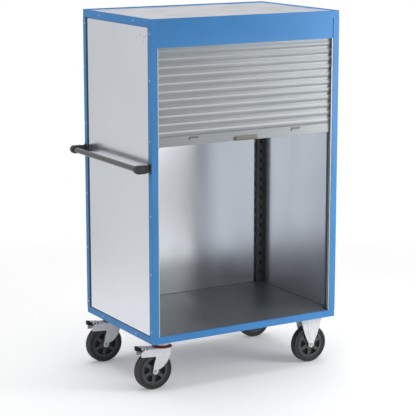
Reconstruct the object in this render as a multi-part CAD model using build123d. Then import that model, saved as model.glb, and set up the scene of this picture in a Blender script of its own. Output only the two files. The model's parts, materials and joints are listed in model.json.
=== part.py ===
from build123d import *
import math
import os

# A cupboard on casters with a roller shutter front, open below the half raised shutter.
# Millimetres, +Z up, the shutter faces -Y, the push handle is on the -X side.
# The origin is on the floor, in the middle of everything that the part reaches.

# Cupboard, outside sizes
cupboard_width = 1106.0
cupboard_depth = 746.0
cupboard_height = 1890.0
overrun = 5.0
running_gap = 0.05
bolt_gap = 0.2

# Frame rails, folded from sheet
rail_wall = 2.5
rail_leg = 35.0
rail_step = 1.0
base_rail_height = 36.0
top_rail_height = 38.0
sill_lip = 9.0
rim_above_roof = 5.0
roof_shelf = 27.0
panel_lap = 22.0

# Uprights, folded from sheet
upright_wall = 2.5
upright_front_leg = 36.0
upright_side_leg = 31.0
panel_rebate = 4.5
rebate_reach = 65.0
lip_depth = 8.0
lip_inset = 24.5
back_flange = 16.0

# Panels and deck
panel_wall = 1.5
panel_end_gap = 8.0
panel_bottom_gap = 5.0
panel_top_gap = 6.0
back_recess = 17.5
deck_wall = 18.0
deck_rise = 2.0
deck_edge_gap = 1.0
deck_wall_gap = 4.0
bearer_width = 40.0
bearer_wall = 2.5
bearer_count = 3
bearer_place_share = 0.6
corner_plate_width = 175.0
corner_plate_depth = 155.0

# Fascia over the rolled shutter
fascia_height = 142.0
fascia_side_gap = 4.0
fascia_lip = 12.0

# Shutter guides
guide_wall = 1.5
guide_web_inset = 20.5
guide_face = 21.5
guide_catch = 15.5
guide_depth = 25.0

# Shelf rails, slotted
shelf_rail_wall = 1.5
front_rail_start = 30.0
front_rail_inset = 23.0
back_rail_stand_off = 32.0
back_rail_face = 43.0
back_rail_side = 14.0
back_slot_from_corner = 15.0
shelf_rail_top_gap = 5.0
slot_pitch = 53.7
slot_first = 60.0
slot_width = 12.0
slot_height = 23.0
slot_ring_radius = 3.0
front_slot_inset = 9.0

# Shutter slats and bar
slat_pitch = 40.3
slat_wall = 8.0
slat_joint_gap = 0.8
slat_middle_depth = 20.0
slat_end_gap = 9.0
hanging_slats_count = 12
bar_height = 48.5
bar_wall = 10.0
bar_bead = 0.9
bar_bead_height = 5.0
# Across the slat from its front, then up it from its lower edge
slat_outline_shares = [
    (1.00, 0.00),
    (0.14, 0.00),
    (0.03, 0.06),
    (0.00, 0.22),
    (0.06, 0.38),
    (0.18, 0.49),
    (0.36, 0.56),
    (0.48, 0.60),
    (0.52, 0.66),
    (0.52, 1.00),
    (1.00, 1.00),
]

# Shutter barrel
roll_axis_from_top = 101.4
barrel_radius = 24.0
barrel_wall = 1.5
barrel_end_gap = 4.0
barrel_cap_length = 20.0
shaft_radius = 7.0
cartridge_radius = 12.0
cartridge_length = 420.0
roll_outer_radius = 57.0
roll_layer_pitch = 8.0
roll_slat_wall = 7.0
rolled_slats_count = 24
roll_facets = 4

# Barrel brackets
bracket_wall = 3.0
bracket_front = 46.0
bracket_depth = 126.0
bracket_height = 84.0
bracket_below_axis = 30.1
bracket_bolt_radius = 3.0
bracket_bolt_head_radius = 5.0
bracket_bolt_head = 2.5
bracket_nut_radius = 5.5
bracket_nut = 3.0
bracket_bolt_shares = [(0.205, 0.50), (0.53, 0.52), (0.88, 0.47), (0.33, 0.17)]

# Lock in the bottom bar
lock_length = 139.0
lock_height = 25.0
lock_wall = 4.0
lock_edge = 1.0
lock_from_middle = 4.5
lock_cylinder_radius = 5.5
lock_cylinder_proud = 1.5
lock_cylinder_inset = 8.0
lock_cylinder_depth = 3.0
key_slot_width = 1.2
key_slot_height = 6.0
key_slot_depth = 2.0
lock_bolt_width = 12.0
lock_bolt_wall = 4.0
lock_bolt_height = 26.0
lock_bolt_travel = 12.0
lock_bolt_back_wall = 1.0
lock_bolt_gap = 0.3
strike_gap = 2.0

# Finger pulls
pull_length = 58.0
pull_height = 18.0
pull_reach = 6.0
pull_wall = 2.0
pull_from_middle = 302.0
pull_above_edge = 25.0

# Rivets
rivet_radius = 4.0
rivet_rise = 1.2
rivet_round_share = 0.6
rivet_from_edge = 16.0
rivet_height_shares = [0.018, 0.209, 0.400, 0.640, 0.832, 0.978]
rail_rivet_place_share = 0.252

# Push handle
handle_reach = 89.0
handle_height = 1157.0
handle_tube_radius = 14.0
handle_tube_wall = 2.0
handle_end_radius = 21.0
handle_bracket_width = 30.0
handle_plate_height = 47.0
handle_plate_wall = 6.0
handle_arm_height = 41.0
handle_neck_width = 14.0
handle_neck_length = 26.0
handle_socket_wall = 5.0
handle_bracket_edge = 1.0
handle_screw_radius = 3.5
handle_screw_rise = 1.5
handle_screw_spacing = 27.0
handle_screw_offset = 11.0

# Casters
wheel_radius = 100.0
wheel_width = 46.0
tyre_depth = 25.0
tyre_shoulder = 9.0
tyre_groove = 1.2
tyre_groove_width = 2.4
tyre_groove_shares = [0.42, 0.78]
hub_width = 40.0
hub_rim_depth = 14.0
hub_web_wall = 8.0
hub_boss_radius = 28.0
hub_sleeve_radius = 10.0
hub_boss_gap = 0.3
hub_spokes = 6
hub_spoke_width = 19.0
hub_turn = 8.0
axle_radius = 6.0
axle_head_radius = 9.0
axle_head = 6.0
swivel_wheel_from_side = 49.0
swivel_axis_from_side = 103.5
fixed_wheel_from_side = 105.0
wheel_from_front = 94.4
fork_inside_width = 56.0
fork_wall = 3.0
fork_tip_radius = 17.0
fork_crown_gap = 15.0
caster_head_height = 40.0
caster_plate_length = 135.0
caster_plate_width = 110.0
caster_plate_wall = 6.0
caster_bolt_length_spacing = 105.0
caster_bolt_width_spacing = 80.0
caster_bolt_radius = 5.0
caster_bolt_head_radius = 8.0
caster_bolt_head = 6.0
swivel_housing_radius = 38.0
swivel_race_radius = 35.0
swivel_race_height = 8.0
swivel_race_gap = 0.3
kingpin_radius = 8.0
kingpin_height = 26.0
seal_radius = 54.0
seal_wall = 3.0
seal_gap = 0.3
# Swivel fork's side, along it from the axle and up from the axle to the crown
swivel_fork_along_shares = [1.00, 0.96, 0.60]
swivel_fork_up_shares = [1.00, 0.68, 0.19]
swivel_fork_reach = 91.0
swivel_arm_reach = 88.0
swivel_arm_up_shares = [0.60, 0.75, 0.90, 1.00]
swivel_arm_along_shares = [0.06, 0.93, 1.00, 0.52]
# Fixed fork's half outline, across it from the axle and up from the axle to its plate
fixed_fork_half_width = 65.0
fixed_fork_across_shares = [0.44, 0.66, 0.88, 1.00]
fixed_fork_up_shares = [0.20, 0.42, 0.70, 1.00]
fixed_fork_crease_rise = 2.0
fixed_fork_crease_share = 0.5

# Brake pedals
pedal_length = 82.0
pedal_half_width = 27.0
pedal_wall = 6.0
pedal_tilt = 8.0
pedal_pivot_from_swivel = 74.0
pedal_pivot_below_crown = 3.0
pedal_pin_radius = 4.0
pedal_hub_radius = 7.0
pedal_crown_gap = 2.0
pedal_ribs = 4
pedal_rib_rise = 2.0
pedal_rib_share = 0.5

# Derived places
half_width = cupboard_width / 2
half_depth = cupboard_depth / 2
cupboard_x = (handle_reach - rivet_rise) / 2
fork_crown = wheel_radius * 2 + fork_crown_gap + fork_wall
pedal_pivot_height = fork_crown - pedal_pivot_below_crown
frame_underside = fork_crown + caster_head_height
base_top = frame_underside + base_rail_height
deck_top = base_top + deck_rise
upright_top = cupboard_height - top_rail_height
roof_top = cupboard_height - rim_above_roof
shelf_top = roof_top - panel_wall
shelf_under = shelf_top - rail_wall
fascia_under = cupboard_height - fascia_height
guide_top = fascia_under + guide_wall
slat_end_inset = guide_web_inset + guide_wall + slat_end_gap
slat_front = slat_middle_depth - slat_wall / 2
bar_front = slat_middle_depth - bar_wall / 2
bar_back = slat_middle_depth + bar_wall / 2
roll_axis_height = cupboard_height - roll_axis_from_top
bar_top = roll_axis_height - hanging_slats_count * slat_pitch
bar_lower_edge = bar_top - bar_height
roll_axis_depth = slat_middle_depth + roll_outer_radius
panel_inner = panel_rebate
flange_inner = panel_rebate + upright_wall
wheel_y = half_depth - wheel_from_front
caster_plate_under = frame_underside - caster_plate_wall


def side_x(side, inset):
    """X of a place that lies inset from the left (-1) or right (1) side."""
    return cupboard_x + side * (half_width - inset)


def front_y(inset):
    return inset - half_depth


def end_y(end, inset):
    """Y of a place that lies inset from the front (-1) or back (1)."""
    return end * (half_depth - inset)


def block(x0, x1, y0, y1, z0, z1):
    middle = Pos((x0 + x1) / 2, (y0 + y1) / 2, (z0 + z1) / 2)
    return middle * Box(abs(x1 - x0), abs(y1 - y0), abs(z1 - z0))


def rod_x(x0, x1, y, z, radius):
    return Pos((x0 + x1) / 2, y, z) * Rot(0, 90, 0) * Cylinder(radius, abs(x1 - x0))


def rod_y(y0, y1, x, z, radius):
    return Pos(x, (y0 + y1) / 2, z) * Rot(90, 0, 0) * Cylinder(radius, abs(y1 - y0))


def rod_z(z0, z1, x, y, radius):
    return Pos(x, y, (z0 + z1) / 2) * Cylinder(radius, abs(z1 - z0))


def filled(points):
    return make_face(Polyline(*points, close=True).edges())


def prism_x(outline, x0, x1):
    """Outline points are (y, z)."""
    face = filled([(x0, y, z) for y, z in outline])
    return extrude(face, amount=x1 - x0, dir=(1, 0, 0))


def prism_y(outline, y0, y1):
    """Outline points are (x, z)."""
    face = filled([(x, y0, z) for x, z in outline])
    return extrude(face, amount=y1 - y0, dir=(0, 1, 0))


def prism_z(outline, z0, z1):
    """Outline points are (x, y)."""
    face = filled([(x, y, z0) for x, y in outline])
    return extrude(face, amount=z1 - z0, dir=(0, 0, 1))


def folded(path, wall):
    """Outline of a sheet of that wall whose middle line is the path, with square folds."""
    steps = []
    for (a0, b0), (a1, b1) in zip(path, path[1:]):
        length = math.hypot(a1 - a0, b1 - b0)
        steps.append(((a1 - a0) / length, (b1 - b0) / length))
    left, right = [], []
    for index, (a, b) in enumerate(path):
        before = steps[max(index - 1, 0)]
        after = steps[min(index, len(steps) - 1)]
        share = 1 + before[0] * after[0] + before[1] * after[1]
        along_a = -(before[1] + after[1]) / share * wall / 2
        along_b = (before[0] + after[0]) / share * wall / 2
        left.append((a + along_a, b + along_b))
        right.append((a - along_a, b - along_b))
    return left + right[::-1]


def corner_prism(outline, side, end, z0, z1):
    """Prism of an outline given as insets from a corner's side face and end face."""
    places = [(side_x(side, u), end_y(end, v)) for u, v in outline]
    return prism_z(places, z0, z1)


def one_solid(shape):
    """A boolean's result as a plain solid or compound of solids."""
    solids = shape.solids()
    return solids[0] if len(solids) == 1 else Compound(children=list(solids))


def together(solids):
    return Compound(children=[s for piece in solids for s in piece.solids()])


def base_rail_front():
    """Front rail: an angle with a short lip on top, the sill under the shutter."""
    middle = rail_wall / 2
    path = [
        (rail_step + rail_leg, frame_underside + middle),
        (rail_step + middle, frame_underside + middle),
        (rail_step + middle, base_top - middle),
        (rail_step + sill_lip, base_top - middle),
    ]
    outline = [(front_y(v), z) for v, z in folded(path, rail_wall)]
    return prism_x(outline, side_x(-1, rail_step), side_x(1, rail_step))


def base_rail_back():
    middle = rail_wall / 2
    path = [
        (rail_step + rail_leg, frame_underside + middle),
        (rail_step + middle, frame_underside + middle),
        (rail_step + middle, base_top),
    ]
    outline = [(end_y(1, v), z) for v, z in folded(path, rail_wall)]
    return prism_x(outline, side_x(-1, rail_step), side_x(1, rail_step))


def base_rail_side(side):
    """Side rail: an angle whose top is joggled inwards and up behind the side panel."""
    middle = rail_wall / 2
    path = [
        (rail_step + rail_leg, frame_underside + middle),
        (rail_step + middle, frame_underside + middle),
        (rail_step + middle, base_top - middle),
        (panel_rebate + middle, base_top - middle),
        (panel_rebate + middle, base_top + panel_lap),
    ]
    outline = [(side_x(side, u), z) for u, z in folded(path, rail_wall)]
    low = rail_step + rail_wall
    body = prism_y(outline, end_y(-1, low), end_y(1, low))
    body -= base_rail_front()
    body -= base_rail_back()
    for end in (-1, 1):
        body -= block(
            side_x(side, 0),
            side_x(side, rail_leg),
            end_y(end, 0),
            end_y(end, rebate_reach + deck_edge_gap),
            base_top,
            base_top + panel_lap + overrun,
        )
    return one_solid(body)


def base_corner_plates():
    """Plates beside the rails' lower legs that the casters bolt to."""
    pieces = []
    leg = rail_step + rail_leg
    for side in (-1, 1):
        for end in (-1, 1):
            plate = block(
                side_x(side, leg),
                side_x(side, corner_plate_width),
                end_y(end, leg),
                end_y(end, corner_plate_depth),
                frame_underside,
                frame_underside + rail_wall,
            )
            pieces.append(one_solid(plate - bolt_holes(side, end)))
    return together(pieces)


def deck_bearers():
    """Rectangular tubes across the lower legs that carry the deck board."""
    pieces = []
    low = frame_underside + rail_wall
    high = deck_top - deck_wall
    front = rail_step + rail_wall + deck_edge_gap
    back = back_recess + panel_wall + deck_edge_gap
    for index in range(bearer_count):
        share = 2 * index / (bearer_count - 1) - 1
        x = cupboard_x + share * bearer_place_share * half_width
        half = bearer_width / 2
        tube = block(x - half, x + half, front_y(front), end_y(1, back), low, high)
        bore = block(
            x - half + bearer_wall,
            x + half - bearer_wall,
            end_y(-1, 0),
            end_y(1, 0),
            low + bearer_wall,
            high - bearer_wall,
        )
        pieces.append(one_solid(tube - bore))
    return together(pieces)


def front_notch():
    """Insets that the deck's front corners are cut back to, clear of guide, rail and upright."""
    return guide_web_inset + guide_face + deck_edge_gap, rebate_reach + deck_edge_gap


def back_notch():
    """Insets that the deck's back corners are cut back to, clear of the shelf rails."""
    across = flange_inner + back_rail_face + deck_edge_gap
    return across, back_rail_stand_off + back_rail_side + deck_edge_gap


def deck_board():
    """Board between the rails, cut away at its corners, with a slot for the lock bolt."""
    inset = flange_inner + deck_wall_gap
    front = rail_step + sill_lip + deck_edge_gap
    back = back_recess + panel_wall + deck_wall_gap
    board = block(
        side_x(-1, inset),
        side_x(1, inset),
        front_y(front),
        end_y(1, back),
        deck_top - deck_wall,
        deck_top,
    )
    for side in (-1, 1):
        for end, (across, along) in ((-1, front_notch()), (1, back_notch())):
            board -= block(
                side_x(side, 0),
                side_x(side, across),
                end_y(end, 0),
                end_y(end, along),
                deck_top - deck_wall - overrun,
                deck_top + overrun,
            )
    x, depth = lock_bolt_place()
    half = lock_bolt_width / 2 + strike_gap
    strike = block(
        x - half,
        x + half,
        front_y(depth - strike_gap),
        front_y(depth + lock_bolt_wall + strike_gap),
        deck_top - lock_bolt_travel,
        deck_top + overrun,
    )
    return one_solid(board - strike)


def upright(side, end):
    """Corner upright: outer angle, joggled in behind the side panel. Front ones end in a lip."""
    middle = upright_wall / 2
    rebate = panel_rebate + middle
    if end < 0:
        path = [
            (upright_front_leg, middle),
            (middle, middle),
            (middle, upright_side_leg - middle),
            (rebate, upright_side_leg - middle),
            (rebate, rebate_reach - middle),
            (lip_inset - middle, rebate_reach - middle),
            (lip_inset - middle, rebate_reach - lip_depth),
        ]
    else:
        path = [
            (upright_front_leg + back_flange, back_recess - middle),
            (upright_front_leg - middle, back_recess - middle),
            (upright_front_leg - middle, middle),
            (middle, middle),
            (middle, upright_side_leg - middle),
            (rebate, upright_side_leg - middle),
            (rebate, rebate_reach),
        ]
    body = corner_prism(folded(path, upright_wall), side, end, base_top, upright_top)
    if end < 0:
        body -= block(
            side_x(side, flange_inner),
            side_x(side, lip_inset + overrun),
            front_y(rebate_reach - lip_depth - overrun),
            front_y(rebate_reach + overrun),
            guide_top,
            upright_top + overrun,
        )
    return one_solid(body)


def top_rail_end(end):
    """Front or back top rail: an upstanding face with a shelf for the roof."""
    face = rail_step if end > 0 else panel_wall
    inner = face + rail_wall
    low, high = side_x(-1, rail_step), side_x(1, rail_step)
    rail = block(low, high, end_y(end, face), end_y(end, inner), upright_top, cupboard_height)
    rail += block(low, high, end_y(end, inner), end_y(end, roof_shelf), shelf_under, shelf_top)
    inside = rail_step + rail_wall
    for side in (-1, 1):
        rail -= block(
            side_x(side, 0),
            side_x(side, inside),
            end_y(end, inner),
            end_y(end, roof_shelf + overrun),
            upright_top - overrun,
            cupboard_height + overrun,
        )
    if end > 0:
        rail += block(
            side_x(-1, upright_front_leg + back_flange),
            side_x(1, upright_front_leg + back_flange),
            end_y(end, back_recess - rail_wall),
            end_y(end, back_recess),
            upright_top - panel_lap,
            shelf_under,
        )
    return one_solid(rail)


def top_rail_side(side):
    """Side top rail: face, roof shelf, and a flange that hangs down behind the side panel."""
    inner = rail_step + rail_wall
    front = panel_wall + rail_wall
    low, high = front_y(front), end_y(1, inner)
    rail = block(
        side_x(side, rail_step), side_x(side, inner), low, high, upright_top, cupboard_height
    )
    rail += block(
        side_x(side, inner),
        side_x(side, roof_shelf),
        front_y(roof_shelf),
        end_y(1, roof_shelf),
        shelf_under,
        shelf_top,
    )
    reach = rebate_reach + deck_edge_gap
    rail += block(
        side_x(side, panel_rebate),
        side_x(side, flange_inner),
        end_y(-1, reach),
        end_y(1, reach),
        upright_top - panel_lap,
        shelf_under,
    )
    return one_solid(rail)


def roof_panel():
    inset = rail_step + rail_wall + deck_edge_gap / 2
    front = panel_wall + rail_wall + deck_edge_gap / 2
    return block(
        side_x(-1, inset), side_x(1, inset), front_y(front), end_y(1, inset), shelf_top, roof_top
    )


def side_panel(side):
    edge = upright_side_leg + panel_end_gap
    panel = block(
        side_x(side, panel_inner - panel_wall),
        side_x(side, panel_inner),
        end_y(-1, edge),
        end_y(1, edge),
        base_top + panel_bottom_gap,
        upright_top - panel_top_gap,
    )
    for y, z in bracket_bolt_places():
        radius = bracket_bolt_radius + bolt_gap
        panel -= rod_x(side_x(side, 0), side_x(side, flange_inner), y, z, radius)
    return one_solid(panel)


def back_panel():
    inset = flange_inner + deck_edge_gap
    return block(
        side_x(-1, inset),
        side_x(1, inset),
        end_y(1, back_recess),
        end_y(1, back_recess + panel_wall),
        frame_underside + rail_wall,
        shelf_under,
    )


def fascia_panel():
    """Flat front of the shutter head, with lips turned in at its foot and both ends."""
    middle = panel_wall / 2
    path = [
        (fascia_lip, fascia_under + middle),
        (middle, fascia_under + middle),
        (middle, cupboard_height),
    ]
    outline = [(front_y(v), z) for v, z in folded(path, panel_wall)]
    inset = upright_front_leg + fascia_side_gap
    panel = prism_x(outline, side_x(-1, inset), side_x(1, inset))
    for side in (-1, 1):
        panel += block(
            side_x(side, inset),
            side_x(side, inset + panel_wall),
            front_y(0),
            front_y(fascia_lip),
            fascia_under,
            upright_top,
        )
    return one_solid(panel)


def shutter_guide(side):
    """Guide: a face behind the upright, a web, and two lips that the slats run between."""
    web = guide_web_inset + guide_wall
    face = upright_wall
    low, high = base_top, fascia_under
    body = block(
        side_x(side, guide_web_inset),
        side_x(side, web),
        front_y(face),
        front_y(face + guide_depth),
        low,
        high,
    )
    lips = (
        (face, guide_face),
        (bar_front - guide_wall - running_gap - bolt_gap, guide_catch),
        (face + guide_depth - guide_wall, guide_catch),
    )
    for depth, reach in lips:
        body += block(
            side_x(side, guide_web_inset),
            side_x(side, guide_web_inset + reach),
            front_y(depth),
            front_y(depth + guide_wall),
            low,
            high,
        )
    return one_solid(body)


def shutter_guides():
    return together([shutter_guide(side) for side in (-1, 1)])


def slot_heights(high):
    places = []
    z = deck_top + slot_first
    while z + slot_pitch / 2 < high:
        places.append(z)
        z += slot_pitch
    return places


def slot_through_x(side, inset, y, z):
    """Upright oblong hole through a wall that faces sideways."""
    radius = slot_width / 2
    reach = slot_height / 2 - radius
    x0, x1 = side_x(side, inset - overrun), side_x(side, inset + overrun)
    hole = block(x0, x1, y - radius, y + radius, z - reach, z + reach)
    for end in (-1, 1):
        hole += rod_x(x0, x1, y, z + end * reach, radius)
    return hole


def slot_through_y(x, y, z):
    """Upright oblong hole through a wall that faces the front."""
    radius = slot_width / 2
    reach = slot_height / 2 - radius
    y0, y1 = y - overrun, y + overrun
    hole = block(x - radius, x + radius, y0, y1, z - reach, z + reach)
    for end in (-1, 1):
        hole += rod_y(y0, y1, x, z + end * reach, radius)
    return hole


def front_shelf_rail(side):
    """Slotted angle beside the shutter guide, fixed to the upright's joggled flange."""
    wall = shelf_rail_wall
    back = rebate_reach - lip_depth - deck_edge_gap / 2
    high = guide_top - shelf_rail_top_gap
    path = [
        (front_rail_inset + wall / 2, front_rail_start),
        (front_rail_inset + wall / 2, back - wall / 2),
        (flange_inner, back - wall / 2),
    ]
    rail = corner_prism(folded(path, wall), side, -1, base_top, high)
    y = front_y(front_rail_start + front_slot_inset)
    holes = [slot_through_x(side, front_rail_inset, y, z) for z in slot_heights(high)]
    return one_solid(rail - holes)


def back_shelf_rail(side):
    """Slotted angle in the back corner: a short leg on the side flange, a wide one to the front."""
    wall = shelf_rail_wall
    high = guide_top - shelf_rail_top_gap
    inset = flange_inner + wall / 2
    path = [
        (flange_inner + back_rail_face, back_rail_stand_off + wall / 2),
        (inset, back_rail_stand_off + wall / 2),
        (inset, back_rail_stand_off + back_rail_side),
    ]
    rail = corner_prism(folded(path, wall), side, 1, base_top, high)
    face_x = side_x(side, flange_inner + back_slot_from_corner)
    ring_x = side_x(side, flange_inner + back_rail_face - slot_ring_radius * 2)
    face_y = end_y(1, back_rail_stand_off)
    holes = []
    for z in slot_heights(high):
        holes.append(slot_through_y(face_x, face_y, z))
        holes.append(rod_y(face_y - overrun, face_y + overrun, ring_x, z, slot_ring_radius))
    return one_solid(rail - holes)


def shelf_rails(maker):
    return together([maker(side) for side in (-1, 1)])


def rivet(side, inset, y, z):
    """Round headed rivet on a side face that lies inset from the outside."""
    head = Pos(side_x(side, inset - rivet_rise / 2), y, z) * Rot(0, 90 * side, 0)
    dome = Cylinder(rivet_radius, rivet_rise)
    rim = dome.edges().sort_by(Axis.Z)[-1]
    return head * fillet(rim, rivet_rise * rivet_round_share)


def frame_rivets():
    pieces = []
    span = upright_top - base_top
    for side in (-1, 1):
        for end in (-1, 1):
            for share in rivet_height_shares:
                z = base_top + share * span
                pieces.append(rivet(side, 0, end_y(end, rivet_from_edge), z))
            y = end * rail_rivet_place_share * cupboard_depth
            top = cupboard_height - top_rail_height / 2
            low = frame_underside + base_rail_height / 2
            pieces.append(rivet(side, rail_step, y, top))
            pieces.append(rivet(side, rail_step, y, low))
    return together(pieces)


def slat_outline(low):
    """(y, z) outline of a hanging slat whose lower edge is at that height."""
    height = slat_pitch - slat_joint_gap
    points = []
    for across, up in slat_outline_shares:
        points.append((front_y(slat_front + across * slat_wall), low + up * height))
    return points


def hanging_slats():
    pieces = []
    for index in range(hanging_slats_count):
        low = bar_top + slat_joint_gap / 2 + index * slat_pitch
        outline = slat_outline(low)
        pieces.append(prism_x(outline, side_x(-1, slat_end_inset), side_x(1, slat_end_inset)))
    return together(pieces)


def roll_point(angle, radius):
    """Place round the barrel's axis: angle 0 is at the front and turns up and over."""
    y = front_y(roll_axis_depth) - radius * math.cos(angle)
    return y, roll_axis_height + radius * math.sin(angle)


def rolled_slats():
    """Slats wound on the barrel in a spiral, outermost first, each bent to its layer."""
    pieces = []
    angle = 0.0
    for _ in range(rolled_slats_count):
        radius = roll_outer_radius - roll_layer_pitch * angle / (2 * math.pi)
        turn = slat_pitch / radius
        gap = slat_joint_gap / radius / 2
        outer, inner = [], []
        for facet in range(roll_facets + 1):
            here = angle + gap + (turn - gap - gap) * facet / roll_facets
            middle = roll_outer_radius - roll_layer_pitch * here / (2 * math.pi)
            outer.append(roll_point(here, middle + roll_slat_wall / 2))
            inner.append(roll_point(here, middle - roll_slat_wall / 2))
        outline = outer + inner[::-1]
        pieces.append(prism_x(outline, side_x(-1, slat_end_inset), side_x(1, slat_end_inset)))
        angle += turn
    return together(pieces)


def barrel_span():
    inset = slat_end_inset - barrel_end_gap
    return side_x(-1, inset), side_x(1, inset)


def barrel_tube():
    y, z = front_y(roll_axis_depth), roll_axis_height
    x0, x1 = barrel_span()
    bore = rod_x(x0 - overrun, x1 + overrun, y, z, barrel_radius - barrel_wall)
    return one_solid(rod_x(x0, x1, y, z, barrel_radius) - bore)


def barrel_end_caps():
    """Plugs in both ends of the barrel that turn on the fixed shaft."""
    y, z = front_y(roll_axis_depth), roll_axis_height
    pieces = []
    for x, way in zip(barrel_span(), (1, -1)):
        plug = rod_x(x, x + way * barrel_cap_length, y, z, barrel_radius - barrel_wall)
        plug += rod_x(x - way * barrel_end_gap, x, y, z, barrel_radius)
        reach = barrel_end_gap + overrun
        hole = rod_x(
            x - way * reach, x + way * (barrel_cap_length + overrun), y, z, shaft_radius + running_gap
        )
        pieces.append(one_solid(plug - hole))
    return together(pieces)


def barrel_shaft():
    y, z = front_y(roll_axis_depth), roll_axis_height
    return rod_x(side_x(-1, flange_inner), side_x(1, flange_inner), y, z, shaft_radius)


def barrel_spring():
    """Closed cartridge of the torsion spring that balances the shutter, round the shaft."""
    y, z = front_y(roll_axis_depth), roll_axis_height
    x0 = cupboard_x - cartridge_length / 2
    x1 = cupboard_x + cartridge_length / 2
    bore = rod_x(x0 - overrun, x1 + overrun, y, z, shaft_radius + running_gap)
    return one_solid(rod_x(x0, x1, y, z, cartridge_radius) - bore)


def bracket_bolt_places():
    places = []
    low = roll_axis_height - bracket_below_axis
    for along, up in bracket_bolt_shares:
        y = front_y(bracket_front + along * bracket_depth)
        places.append((y, low + up * bracket_height))
    return places


def barrel_brackets():
    pieces = []
    low = roll_axis_height - bracket_below_axis
    y, z = front_y(roll_axis_depth), roll_axis_height
    for side in (-1, 1):
        outside, inside = side_x(side, flange_inner), side_x(side, flange_inner + bracket_wall)
        plate = block(
            outside,
            inside,
            front_y(bracket_front),
            front_y(bracket_front + bracket_depth),
            low,
            low + bracket_height,
        )
        x0, x1 = side_x(side, 0), side_x(side, lip_inset)
        plate -= rod_x(x0, x1, y, z, shaft_radius + running_gap)
        for bolt_y, bolt_z in bracket_bolt_places():
            plate -= rod_x(x0, x1, bolt_y, bolt_z, bracket_bolt_radius + bolt_gap)
        pieces.append(one_solid(plate))
    return together(pieces)


def bracket_bolts():
    """Bolts from outside the side panels, each with its spacer and nut."""
    pieces = []
    outer = panel_inner - panel_wall
    inner = flange_inner + bracket_wall
    for side in (-1, 1):
        for y, z in bracket_bolt_places():
            x = side_x(side, outer)
            bolt = rod_x(side_x(side, outer - bracket_bolt_head), x, y, z, bracket_bolt_head_radius)
            bolt += rod_x(x, side_x(side, inner), y, z, bracket_bolt_radius)
            spacer = side_x(side, panel_inner), side_x(side, flange_inner)
            bolt += rod_x(*spacer, y, z, bracket_nut_radius)
            nut = side_x(side, inner), side_x(side, inner + bracket_nut)
            bolt += rod_x(*nut, y, z, bracket_nut_radius)
            pieces.append(one_solid(bolt))
    return together(pieces)


def lock_span():
    middle = cupboard_x - lock_from_middle
    return middle - lock_length / 2, middle + lock_length / 2


def lock_cylinder_place():
    low = lock_span()[0]
    return low + lock_cylinder_inset, bar_lower_edge + lock_height / 2


def lock_bolt_place():
    """X of the lock bolt's middle and the depth of its front face."""
    x = lock_cylinder_place()[0]
    return x, bar_back - lock_bolt_back_wall - lock_bolt_wall


def bottom_bar():
    """Flat bar with a bead along its top, bored for the lock."""
    top = bar_top - bar_bead_height
    low_x, high_x = side_x(-1, slat_end_inset), side_x(1, slat_end_inset)
    y0, y1 = front_y(bar_front), front_y(bar_back)
    bar = block(low_x, high_x, y0, y1, bar_lower_edge, bar_top)
    groove = front_y(bar_front + bar_bead)
    bar -= block(
        low_x - overrun, high_x + overrun, y0 - overrun, groove, bar_lower_edge + lock_height, top
    )
    x, z = lock_cylinder_place()
    depth = lock_bolt_place()[1]
    deep = front_y(depth - lock_bolt_gap)
    bar -= rod_y(y0 - overrun, deep, x, z, lock_cylinder_radius + running_gap)
    half = lock_bolt_width / 2 + lock_bolt_gap
    bar -= block(
        x - half,
        x + half,
        front_y(depth - lock_bolt_gap),
        front_y(depth + lock_bolt_wall + lock_bolt_gap),
        bar_lower_edge - overrun,
        bar_lower_edge + lock_bolt_height + lock_bolt_gap,
    )
    return one_solid(bar)


def lock_housing():
    x0, x1 = lock_span()
    y1 = front_y(bar_front)
    plate = block(x0, x1, y1 - lock_wall, y1, bar_lower_edge, bar_lower_edge + lock_height)
    edges = plate.edges().filter_by(Axis.X).group_by(Axis.Y)[0]
    plate = chamfer(edges, lock_edge)
    x, z = lock_cylinder_place()
    hole = rod_y(y1 - lock_wall - overrun, y1 + overrun, x, z, lock_cylinder_radius + running_gap)
    return one_solid(plate - hole)


def lock_cylinder():
    x, z = lock_cylinder_place()
    face = front_y(bar_front) - lock_wall - lock_cylinder_proud
    plug = rod_y(face, front_y(bar_front + lock_cylinder_depth), x, z, lock_cylinder_radius)
    half, reach = key_slot_width / 2, key_slot_height / 2
    slot = block(x - half, x + half, face - overrun, face + key_slot_depth, z - reach, z + reach)
    return one_solid(plug - slot)


def lock_bolt():
    x, depth = lock_bolt_place()
    half = lock_bolt_width / 2
    return block(
        x - half,
        x + half,
        front_y(depth),
        front_y(depth + lock_bolt_wall),
        bar_lower_edge,
        bar_lower_edge + lock_bolt_height,
    )


def finger_pulls():
    """Two small angles on the bar that the fingers lift."""
    pieces = []
    y1 = front_y(bar_front + bar_bead)
    low = bar_lower_edge + pull_above_edge
    for side in (-1, 1):
        x = cupboard_x + side * pull_from_middle
        x0, x1 = x - pull_length / 2, x + pull_length / 2
        pull = block(x0, x1, y1 - pull_wall, y1, low, low + pull_height)
        pull += block(x0, x1, y1 - pull_reach, y1, low, low + pull_wall)
        lip = y1 - pull_reach
        pull += block(x0, x1, lip, lip + pull_wall, low, low + pull_height / 2)
        pieces.append(one_solid(pull))
    return together(pieces)


def handle_axis():
    return side_x(-1, 0) - handle_reach + handle_end_radius


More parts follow.
